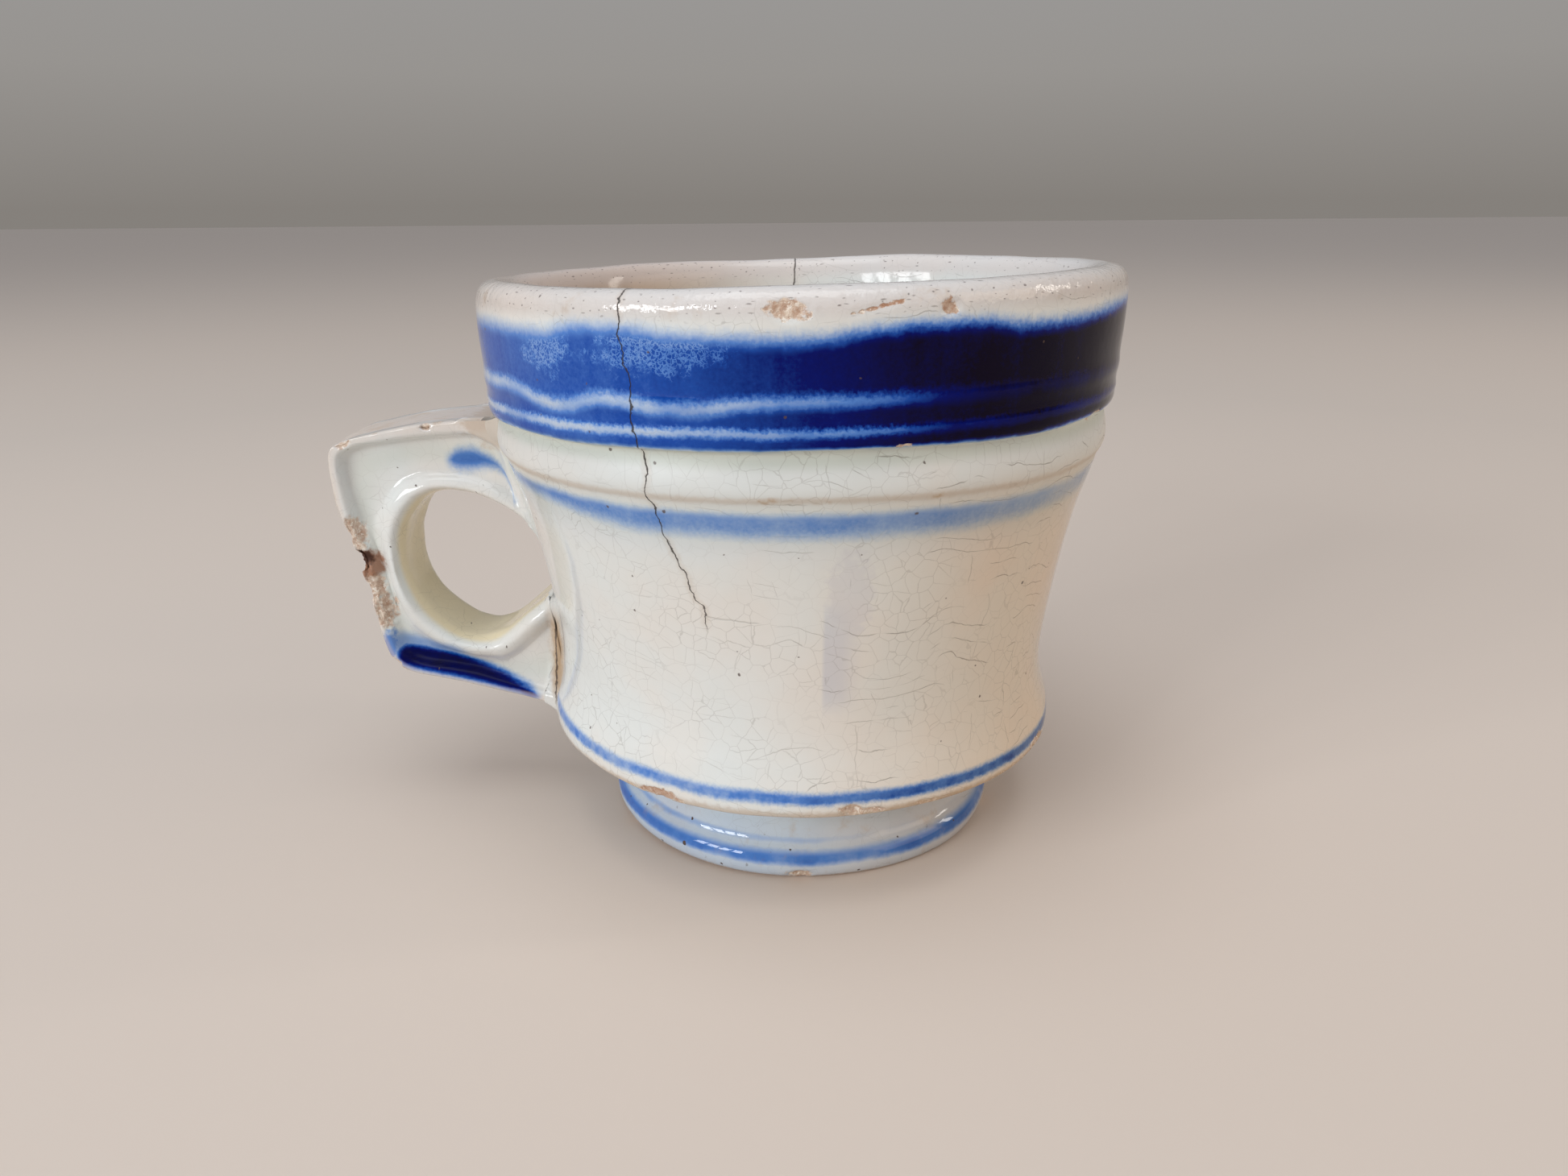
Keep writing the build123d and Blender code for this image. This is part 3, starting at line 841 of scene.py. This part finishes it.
def collar_cobalt(nodes, cup, brush):
    """The collar's broad band, darkest to the right, with two pale lines and some frosting."""
    height, grain = cup.height, brush.grain
    turn = math.radians(DARKEST_ANGLE)
    facing = (nodes.x * math.sin(turn) - nodes.y * math.cos(turn)) * (1 / RIM_RADIUS)
    gather = facing.step(0.22, 0.93)
    thick = 0.59 + gather * 0.42 + brush.soak * 0.18 + brush.streaks * 0.12 + grain * 0.10
    brushed = height + brush.wander * 0.9 + brush.flutter * 0.5
    above = height + brush.flutter * 0.9 + grain * 0.8 - nodes.follow(cup.angle, TOP_EDGE)
    collar = brushed.step(*COLLAR_BOTTOM) * above.fall(*COLLAR_TOP) * thick
    line = height + brush.flutter * 0.7 + grain * 0.9 - nodes.follow(cup.angle, PALE_LINE)
    uneven = nodes.noise(9.0, 2.0, seed=61.0).step(0.28, 0.6)
    drowned = gather.step(0.76, 1.05)
    pale = line.band(*COLLAR_LINE) * (0.27 + uneven * 0.14) * (1.0 - drowned * 0.85)
    lower = (brushed + grain * 0.9).band(*COLLAR_LOWER_LINE) * (0.25 + uneven * 0.15)
    lower = lower * (1.0 - drowned * 0.6)
    frost = frosting(nodes, cup) * collar.step(0.42, 0.58)
    return highest(collar - pale - lower - frost * 0.19, collar * 0.3)


def wall_cobalt(nodes, cup, brush):
    """The two lines on the wall, faint blue where the colour ran and beside the handle, and a faint blue
    painted reflection streak right of the front.
    """
    height, wander, flutter = cup.height, brush.wander, brush.flutter
    middle = height + wander * 0.7 + flutter * 0.5 + brush.grain * 0.5
    spread = cup.angle.step(-52.0, -22.0) * 1.5
    fade = (middle + spread).step(*UPPER_LINE_BOTTOM) * middle.fall(*UPPER_LINE_TOP)
    greyed = nodes.x.step(-4.0, 40.0)
    uneven = 0.41 - greyed * 0.13 + brush.soak * 0.40 + brush.streaks * 0.10 + brush.grain * 0.10
    drawn = 0.43 + greyed * 0.14 + brush.soak * 0.50 + flutter * 0.35
    lower_line = (middle + nodes.x * 0.012).band(*LOWER_LINE) * drawn
    bleed = height.step(*UPPER_LINE_BLEED) * height.fall(62.5, 63.5) * 0.06
    handle_side = cup.angle.band(-84.0, -70.0, 5.0) * height.band(20.0, 52.0, 9.0) * 0.08
    # Painted reflection: a faint blue vertical streak right of the front.
    blue_reflection_streak = (cup.along + flutter * 0.3).step(*REFLECTION_STREAK_LEFT) * (cup.along + flutter).fall(4.5, 9.5)
    blue_reflection_streak = blue_reflection_streak * (height + wander * 3.0).band(*REFLECTION_STREAK_HEIGHT) * (0.05 + brush.streaks * 0.06)
    return highest(fade * uneven, lower_line, bleed + handle_side + blue_reflection_streak)


def cup_tints(nodes, cup, colour):
    """Changes of tone: tea stain and painted shade inside, painted warm shade on the right side, a painted
    grey-mauve reflection streak, and painted shade on the neck.
    """
    height, along, fray = cup.height, cup.along, cup.fray
    # Inside, browner lower down and towards -X: partly tea stain, partly painted shade on the inner wall that
    # the light does not reach.
    tea_and_shade = height.fall(44.0, 86.0) * 0.55 + nodes.x.fall(-36.0, 6.0) * 0.85
    colour = nodes.blend(tea_and_shade * cup.inner, colour, TEA_STAIN_AND_SHADE)
    # Painted shade: the outside below the collar darkens to warm tan towards +X, away from the light.
    right_side_shade = nodes.x.step(-8.0, 46.0) * height.fall(58.0, 72.0) * cup.outside * 0.85
    colour = nodes.blend(right_side_shade, colour, RIGHT_SIDE_SHADE, "MULTIPLY")
    # Painted reflection: a tall grey-mauve streak on the wall, right of the front.
    reflection_veil = (along + fray * 0.2).step(*REFLECTION_STREAK_LEFT) * (along + fray).fall(5.0, 9.5)
    reflection_veil = reflection_veil * (height + fray * 3.0).band(*REFLECTION_VEIL_HEIGHT) * 0.30
    painted_reflection = highest(nodes.blobs(along, height, PAINTED_REFLECTION_SPOTS, fray), reflection_veil) * cup.outside
    colour = nodes.blend(painted_reflection, colour, PAINTED_REFLECTION_TINT)
    # Painted shade: the neck under the collar is darkened.
    return nodes.blend(cup.neck * 0.5, colour, PAINTED_NECK_SHADE, "MULTIPLY")


def cup_cracks(nodes, cup):
    """The long crack with its branch, a crack at the back, and the dirt beside the long one."""
    height, along = cup.height, cup.along
    jag = nodes.sway(1.6, 3.0, seed=73.0) * 1.5 + nodes.sway(5.0, 2.0, seed=74.0) * 1.2
    away = abs(along + jag - nodes.follow(height, CRACK) * LENGTH_PER_DEGREE)
    reach = height.step(*CRACK_END) * cup.outside + height.step(*CRACK_END_INSIDE) * cup.inner
    gape = nodes.noise(3.0, 2.0, seed=77.0) * 0.12 - 0.03 + height.step(50.0, 76.0) * 0.03
    crack = (away - gape).fall(-0.04, 0.10) * reach * 0.94
    branch_away = abs(height - 47.4 + (along + 13.0) * 0.07 + jag * 0.3)
    branch = branch_away.fall(0.03, 0.18) * along.band(-13.5, -6.0, 0.6) * cup.outside
    back = abs(nodes.x + 1.0 + jag * 0.5).fall(0.06, 0.22) * nodes.y.step(5.0, 10.0)
    back = back * height.step(76.0, 80.0) * highest(cup.inner, height.step(88.0, 90.0))
    return highest(crack, branch * 0.22, back * 0.8), away.fall(0.2, 1.1) * reach


def cup_specks(nodes, cup):
    run = nodes.mark("run")
    return highest(
        nodes.dots(cup.along, run, 8.0, 0.28, 0.38) * 0.85,
        nodes.dots(cup.along + 3.0, run * 1.3, 1.5, 0.19, 0.46) * cup.lip * 0.65,
        nodes.dots(cup.along * 0.5 + 9.0, run * 1.6, 1.7, 0.20, 0.45) * cup.lip * 0.6,
    )


def cup_stains(nodes, cup, soiling):
    """Dirt along the edges, on the lip and in the joint above the foot."""
    cordon_edge = (cup.height + cup.fray * 0.6).band(*CORDON_EDGE) * (0.30 + soiling * 0.8)
    aged = nodes.x.step(-10.0, 30.0) * 0.35
    skirt_edge = (cup.height + cup.fray * 1.2).band(*SKIRT_EDGE) * (0.38 + aged + soiling * 0.8)
    far_sides = abs(nodes.x).step(8.0, 46.0)
    rim_stain = cup.lip * (soiling * 0.34 + far_sides * 0.17)
    return highest(cordon_edge, skirt_edge, rim_stain, cup.height.band(*FOOT_JOINT) * 0.25)


def cup_glaze():
    """The cup's glaze: cobalt, crazing, cracks, specks, stains and worn edges."""
    nodes = Nodes("cup_glaze")
    cup = cup_surface(nodes)
    brush = brush_marks(nodes)
    # Painted shade, partly pooled glaze: green-grey in the groove under the collar, under the skirt and under
    # the cordon.
    groove_shade = cup.height.band(*NECK_GROOVE) * 0.75 + cup.height.fall(15.5, 17.0) * 0.6
    pool_and_shade = highest(groove_shade, cup.height.band(*WALL_TOP_POOL_AND_SHADE) * 0.35) * cup.outside
    cobalt = highest(collar_cobalt(nodes, cup, brush), wall_cobalt(nodes, cup, brush)) * cup.outside
    colour = cup_tints(nodes, cup, glaze_colour(nodes, cobalt, pool_and_shade))

    cup_floor = cup.height.fall(*CUP_FLOOR) * cup.inner
    hair = crazing(nodes, cobalt) * (1.0 - cup.lip * 0.65) * (1.0 - cup_floor * 0.7)
    crack, soaked = cup_cracks(nodes, cup)
    halo = soaked * cobalt.fall(0.0, 0.3) * 0.16
    soiling = nodes.soil(6.0, 79.0, 0.56, 0.78)
    stain = cup_stains(nodes, cup, soiling) * (1.0 - crack)
    scuffs = (cup.height + cup.fray).band(*SKIRT_SCUFFS) * soiling.step(0.15, 0.5)
    bare = highest((nodes.mark("worn") + cup.fray * 1.6).step(0.5, 0.75), scuffs * 0.8)

    colour = nodes.blend(cup.lip * 0.55, colour, LIP_TINT)
    dirt = highest(stain, halo) * cup.outside
    colour = weathered(nodes, colour, bare, cup_specks(nodes, cup), dirt, hair)
    rusty = nodes.blobs(cup.along, cup.height, RUSTY_SPOTS, cup.fray)
    colour = nodes.layered(colour, (rusty * bare * cup.outside, RUSTY_CHIP), (crack, LONG_CRACK))
    smears = nodes.noise(9.0, 3.0, seed=83.0).step(0.4, 0.75)
    roughness = 0.03 + smears * 0.05 + cup.neck * 0.38 + cup.inner * 0.02
    roughness = roughness + bare * 0.6 + stain * 0.3 + crack * 0.4
    waves = nodes.noise(1.7, 3.0, seed=87.0) * cup.lip * cup.outside * 0.17
    relief = glaze_relief(nodes, bare, hair, crack) + waves
    return nodes.finish(colour, roughness, relief, glaze_shine(cobalt) * (1.0 - cup.inner * 0.35))


# Heights on the foot
FOOT_BEAD = (2.7, 4.8, 0.8)
FOOT_THIN_LINE = (5.5, 6.6, 0.8)
# The foot's concave neck: pooled glaze and painted shade.
FOOT_NECK_POOL_AND_SHADE = (7.5, 13.0, 1.5)
FOOT_TOP_STAIN = (11.0, 13.0, 0.8)
FOOT_STANDING = (0.25, 0.8)
FOOT_OUTSIDE_RADIUS = (29.0, 30.0)


def foot_glaze():
    """The foot's glaze: a blue bead, a thin line above it and a bare standing face."""
    nodes = Nodes("foot_glaze")
    height, worn = nodes.mark("height"), nodes.mark("worn")
    fray = nodes.sway(1.2, 3.0, seed=91.0)
    wander = nodes.sway(9.0, 2.0, seed=93.0)
    radius = nodes.math("SQRT", nodes.x * nodes.x + nodes.y * nodes.y)
    outside = radius.step(*FOOT_OUTSIDE_RADIUS)
    brushed = height + wander * 0.7 + fray * 0.4
    left = nodes.x.fall(-22.0, 24.0)
    bead = brushed.band(*FOOT_BEAD) * (0.47 + wander * 0.44 + fray * 0.10)
    thin = brushed.band(*FOOT_THIN_LINE) * (0.10 + left * 0.24 + wander * 0.3)
    tinge = 0.08 + left * 0.07 + wander * 0.06
    cobalt = highest(bead, thin, tinge) * outside
    # Green-grey in the foot's concave neck: painted shade, partly pooled glaze.
    colour = glaze_colour(nodes, cobalt, height.band(*FOOT_NECK_POOL_AND_SHADE) * 0.25)
    # Painted shade: the foot darkens towards +X, away from the light.
    colour = nodes.blend(nodes.x.step(-6.0, 30.0) * outside * 0.65, colour, PAINTED_FOOT_SHADE, "MULTIPLY")

    hair = crazing(nodes, cobalt) * 0.5
    round_foot = nodes.math("ARCTAN2", nodes.x, -nodes.y) * FOOT_RADIUS
    scrapes = nodes.soil(2.6, 99.0, 0.66, 0.72)
    specks = highest(nodes.dots(round_foot, nodes.mark("run"), 6.0, 0.45, 0.5), scrapes * 0.42)
    soiling = nodes.soil(5.0, 97.0, 0.55, 0.78)
    stain = highest(soiling * 0.35, height.band(*FOOT_TOP_STAIN) * 0.3)
    standing = (height + fray * 0.8).fall(*FOOT_STANDING)
    bare = highest((worn + fray * 1.6).step(0.5, 0.75), standing * 0.9)
    colour = weathered(nodes, colour, bare, specks, stain, hair)
    roughness = 0.04 + soiling * 0.08 + bare * 0.6 + stain * 0.25
    return nodes.finish(colour, roughness, glaze_relief(nodes, bare, hair, 0.0), glaze_shine(cobalt))


# Brush strokes on the handle's faces: middle and half width, by the distance from the cup's axis
UPPER_DAB = [(46.8, 55.0), (47.7, 58.4), (49.3, 60.8), (51.5, 61.7), (54.5, 61.8), (58.0, 61.5)]
UPPER_DAB_WIDTH = [(46.5, 0.3), (48.5, 0.6), (51.0, 1.3), (54.5, 1.9), (57.0, 1.2), (60.0, 0.2)]
UPPER_DAB_LENGTH = (46.6, 57.6, 1.0)
LOWER_STROKE = [(45.6, 20.3), (50.0, 22.3), (54.5, 24.0), (59.0, 25.5), (64.5, 26.7), (69.5, 27.9)]
LOWER_STROKE_WIDTH = [(45.0, 0.4), (49.0, 0.9), (56.0, 1.5), (62.0, 1.8), (67.0, 1.7), (70.0, 0.9)]
LOWER_STROKE_LENGTH = (45.6, 69.3, 1.1)
HALO_HEIGHT = (0.0, 3.6, 1.0)  # above the lower stroke's middle
HALO_LENGTH = (58.0, 71.4, 2.0)
# Patches on the handle: distance from the cup's axis, height, reach along both, and strength
EDGE_INK = [(70.6, 29.8, 1.9, 3.2, 0.42)]
RUST_SPOTS = [(72.4, 44.2, 3.0, 3.0, 0.85)]
PIT_SPOTS = [(73.2, 45.2, 2.3, 1.6, 1.0)]
UPPER_ROOT_STAIN = [(48.6, 68.0, 7.0, 5.0, 0.42)]
ROOT_STAIN_OUT = (40.2, 42.8, 1.0)
ROOT_STAIN_HEIGHT = (21.0, 35.5, 3.0)
ROOT_CRACK_HEIGHT = (20.0, 34.5, 1.5)


def handle_cobalt(nodes, out, up, face):
    """The two brush strokes on each flat face of the handle, with their pale haloes."""
    fray = nodes.sway(2.2, 3.0, seed=101.0) * 1.1
    grain = nodes.sway(0.6, 2.0, seed=102.0) * 0.9
    dab_away = abs(up - nodes.follow(out, UPPER_DAB)) + fray + grain
    dab = (dab_away - nodes.follow(out, UPPER_DAB_WIDTH)).fall(-1.6, 1.1)
    dab = dab * out.band(*UPPER_DAB_LENGTH) * (0.50 + fray * 0.16 + grain * 0.1)
    above = up - nodes.follow(out, LOWER_STROKE)
    away = abs(above) + fray * 0.6 + grain * 0.5
    stroke = (away - nodes.follow(out, LOWER_STROKE_WIDTH)).fall(-1.2, 1.2)
    stroke = stroke * (out + fray).band(*LOWER_STROKE_LENGTH) * (0.93 + fray * 0.16)
    halo = (above + fray).band(*HALO_HEIGHT) * out.band(*HALO_LENGTH) * (0.32 + fray * 0.14)
    rim_ink = nodes.blobs(out, up, EDGE_INK, fray * 0.7 + grain * 0.4)
    edge_ink = (-up + out * 0.27).step(-3.6, -1.6) * out.band(46.0, 64.0, 3.0) * 0.34
    return highest(dab, stroke, halo, rim_ink) * face + edge_ink * (1.0 - face) * 0.6


def root_stains(nodes, fray):
    """Where dirt has soaked in at the handle's two ends."""
    out, up = -nodes.x, nodes.z
    lower = (out + fray * 1.4).band(*ROOT_STAIN_OUT) * up.band(*ROOT_STAIN_HEIGHT) * 0.85
    return highest(lower, nodes.blobs(out, up, UPPER_ROOT_STAIN, fray))


def root_crack(nodes, fray):
    """The dark crack between the handle's lower end and the cup."""
    away = abs(-nodes.x - 41.4 - (36.0 - nodes.z) * 0.05 + fray)
    return away.fall(0.08, 0.26) * nodes.z.band(*ROOT_CRACK_HEIGHT) * 0.85


def handle_glaze():
    """The handle's glaze: brush strokes, a finger hole painted with warm tan shade, and a chipped, rusty
    edge.
    """
    nodes = Nodes("handle_glaze")
    across, worn = nodes.mark("across"), nodes.mark("worn")
    out, up = -nodes.x, nodes.z
    depth = abs(nodes.y)
    face = depth.step(4.6, 5.6)
    fray = nodes.sway(1.2, 3.0, seed=103.0)
    cobalt = handle_cobalt(nodes, out, up, face)
    # Painted shade: the finger hole's wall is tinted warm tan.
    hole_wall_shade = across.fall(0.04, 0.13) * depth.fall(5.8, 7.6)
    # Green-grey in the middle of the sunk panel: painted shade in the recess, partly pooled glaze.
    colour = glaze_colour(nodes, cobalt, across.band(0.48, 0.74, 0.12) * face * 0.4)
    border = across.step(0.86, 0.93)
    bordering = border * 0.36 + across.step(0.93, 0.97) * (1.0 - face) * 0.30
    colour = nodes.layered(colour, (hole_wall_shade * 0.8, HOLE_WALL_SHADE_TINT), (bordering, BORDER_TINT))

    hair = crazing(nodes, cobalt) * 0.6
    specks = nodes.dots(nodes.mark("run"), nodes.mark("girth"), 8.0, 0.26, 0.40) * 0.85
    soiling = nodes.soil(5.0, 107.0, 0.5, 0.74)
    rim_edge = across.step(0.93, 1.0) * depth.step(5.6, 7.4)
    back_wear = border * (1.0 - face) * (0.16 + soiling * 0.3)
    stain = highest(root_stains(nodes, fray), rim_edge * (0.22 + soiling * 0.55), back_wear)
    bare = (worn + fray * 1.1).step(0.5, 0.8)
    bare = highest(bare, rim_edge * (soiling + fray).step(0.5, 0.8) * 0.8)
    colour = weathered(nodes, colour, bare, specks, stain, hair)

    near = nodes.y.fall(-5.0, -3.5)
    crack = root_crack(nodes, fray)
    rust = nodes.blobs(out, up, RUST_SPOTS, fray) * near
    pit = nodes.blobs(out, up, PIT_SPOTS, fray) * near
    colour = nodes.layered(colour, (rust, RUST), (pit, PIT), (crack, ROOT_CRACK))
    roughness = 0.035 + soiling * 0.05 + bare * 0.6 + stain * 0.3 + border * (1.0 - face) * 0.3 + cobalt * 0.2
    return nodes.finish(colour, roughness, glaze_relief(nodes, bare, hair, crack), glaze_shine(cobalt))


def slip_glaze():
    """The glazed slip in the corners, stained and crazed like its neighbours."""
    nodes = Nodes("slip_glaze")
    fray = nodes.sway(1.2, 3.0, seed=103.0)
    cobalt = nodes.noise(9.0, seed=117.0) * 0.04
    hair = crazing(nodes, cobalt) * 0.6
    soiling = nodes.soil(4.0, 119.0, 0.45, 0.7)
    stain = highest(root_stains(nodes, fray), soiling * 0.15)
    # A little green-grey over the corner slip: painted shade in the corners, partly pooled glaze.
    colour = weathered(nodes, glaze_colour(nodes, cobalt, 0.12), 0.0, 0.0, stain, hair)
    crack = root_crack(nodes, fray)
    colour = nodes.blend(crack, colour, ROOT_CRACK)
    return nodes.finish(colour, 0.09 + stain * 0.3, glaze_relief(nodes, 0.0, hair, crack), SHINE)


# The camera: place in metres, and how far it looks down, is turned and leans over, in radians
CAMERA_PLACE = (0.0, -0.1804, 0.1007)
CAMERA_DOWN = 0.3387
CAMERA_TURN = 0.0163
CAMERA_ROLL = -0.0085
CAMERA_LENS = 25.09
CAMERA_SENSOR = 36.0

# Lights, in the order they are made: name, azimuth and elevation from the mug's middle in degrees,
# distance and size in metres, radiance and colour
MUG_MIDDLE = 0.05
DAYLIGHT = (0.97, 0.985, 1.0)
WINDOW = [
    ("window_pane", azimuth, 19.0, 1.5, (0.15, 0.38), 15.0, DAYLIGHT)
    for azimuth in (-60.0, -52.0, -44.0, -36.0)
]
LIGHTS = WINDOW + [
    ("side_window", 97.0, 24.0, 1.5, (0.16, 0.44), 8.0, (1.0, 0.93, 0.84)),
    ("fill", 66.0, 22.0, 1.2, (0.8, 0.6), 1.5, (1.0, 0.74, 0.50)),
    ("overhead", -20.0, 78.0, 1.4, (1.0, 1.0), 2.2, (0.95, 0.98, 1.0)),
]
FLOOR_HALF = 6.0
# The floor's tones by distance from the mug: a painted pool of light, brightest near the mug, darker further
# out and lighter again far off.
FLOOR_LIGHT_POOL_TONES = [(0.0, (0.67, 0.575, 0.50)), (0.5, (0.63, 0.545, 0.475)), (1.0, (0.66, 0.56, 0.48))]
LIGHT_POOL_FADE = (60.0, 900.0)  # distances from the mug, in millimetres, over which the tones change
SURROUND_TONES = [(0.0, (0.235, 0.218, 0.20)), (0.10, (0.31, 0.295, 0.28)), (0.7, (0.42, 0.45, 0.50))]


def place_camera():
    """The camera stands in front of the mug and looks slightly down at it."""
    data = bpy.data.cameras.new("camera")
    data.sensor_width = CAMERA_SENSOR
    data.lens = CAMERA_LENS
    camera = linked("camera", data)
    camera.matrix_world = (
        Matrix.Translation(CAMERA_PLACE)
        @ Matrix.Rotation(CAMERA_TURN, 4, "Z")
        @ Matrix.Rotation(math.pi / 2 - CAMERA_DOWN, 4, "X")
        @ Matrix.Rotation(CAMERA_ROLL, 4, "Z")
    )
    bpy.context.scene.camera = camera


def area_light(name, azimuth, elevation, distance, size, radiance, colour):
    """A rectangular light that faces the mug and that no camera sees."""
    turn, rise = math.radians(azimuth), math.radians(elevation)
    level = distance * math.cos(rise)
    place = (level * math.sin(turn), -level * math.cos(turn), MUG_MIDDLE + distance * math.sin(rise))
    data = bpy.data.lights.new(name, "AREA")
    data.shape = "RECTANGLE"
    data.size, data.size_y = size
    data.energy = radiance * math.pi * size[0] * size[1]
    data.color = colour
    light = linked(name, data)
    light.visible_camera = False
    direction = Vector(place) - Vector((0.0, 0.0, MUG_MIDDLE))
    light.matrix_world = Matrix.Translation(place) @ direction.to_track_quat("Z", "Y").to_matrix().to_4x4()


def stage():
    """A pale floor painted a little brighter round the mug as a pool of light, the surround and the lights.
    """
    mesh = bpy.data.meshes.new("floor")
    half = FLOOR_HALF
    corners = [(-half, -half, 0), (half, -half, 0), (half, half, 0), (-half, half, 0)]
    mesh.from_pydata(corners, [], [(0, 1, 2, 3)])
    linked("floor", mesh)
    nodes = Nodes("floor")
    away = nodes.math("SQRT", nodes.x * nodes.x + nodes.y * nodes.y)
    # Painted pool of light: the floor is brightest close to the mug.
    floor_light_pool = nodes.ramp(away.step(*LIGHT_POOL_FADE), FLOOR_LIGHT_POOL_TONES)
    nodes.feed(nodes.shader.inputs["Base Color"], floor_light_pool)
    nodes.shader.inputs["Roughness"].default_value = 0.8
    mesh.materials.append(nodes.material)
    surround()
    for light in LIGHTS:
        area_light(*light)


def surround():
    """A plain surround, lighter and bluer towards the top."""
    world = bpy.data.worlds.new("surround")
    bpy.context.scene.world = world
    world.use_nodes = True
    tree = world.node_tree
    direction = tree.nodes.new("ShaderNodeTexCoord")
    parts = tree.nodes.new("ShaderNodeSeparateXYZ")
    ramp = tree.nodes.new("ShaderNodeValToRGB")
    tree.links.new(direction.outputs["Generated"], parts.inputs["Vector"])
    tree.links.new(parts.outputs["Z"], ramp.inputs["Fac"])
    tree.links.new(ramp.outputs["Color"], tree.nodes["Background"].inputs["Color"])
    fill_ramp(ramp.color_ramp, SURROUND_TONES)
    tree.nodes["Background"].inputs["Strength"].default_value = 1.0


def settle(piece, node, material):
    """Gives a piece its material, hangs it under the root body and hides the CAD part of that node."""
    piece.data.materials.append(material)
    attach(piece, "root")
    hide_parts(node)


def main():
    place_camera()
    stage()
    settle(cup_piece(), "cup_body", cup_glaze())
    settle(foot_piece(), "foot_ring", foot_glaze())
    settle(handle_piece(), "handle", handle_glaze())
    slip = slip_glaze()
    grid, _ = handle_points()
    settle(root_slip("upper_slip_fillet", grid, True), "upper_handle_slip", slip)
    settle(root_slip("lower_slip_fillet", grid, False), "lower_handle_slip", slip)
    settle(foot_slip(), "foot_slip", slip)


main()
bpy.context.scene.view_settings.view_transform = "Standard"
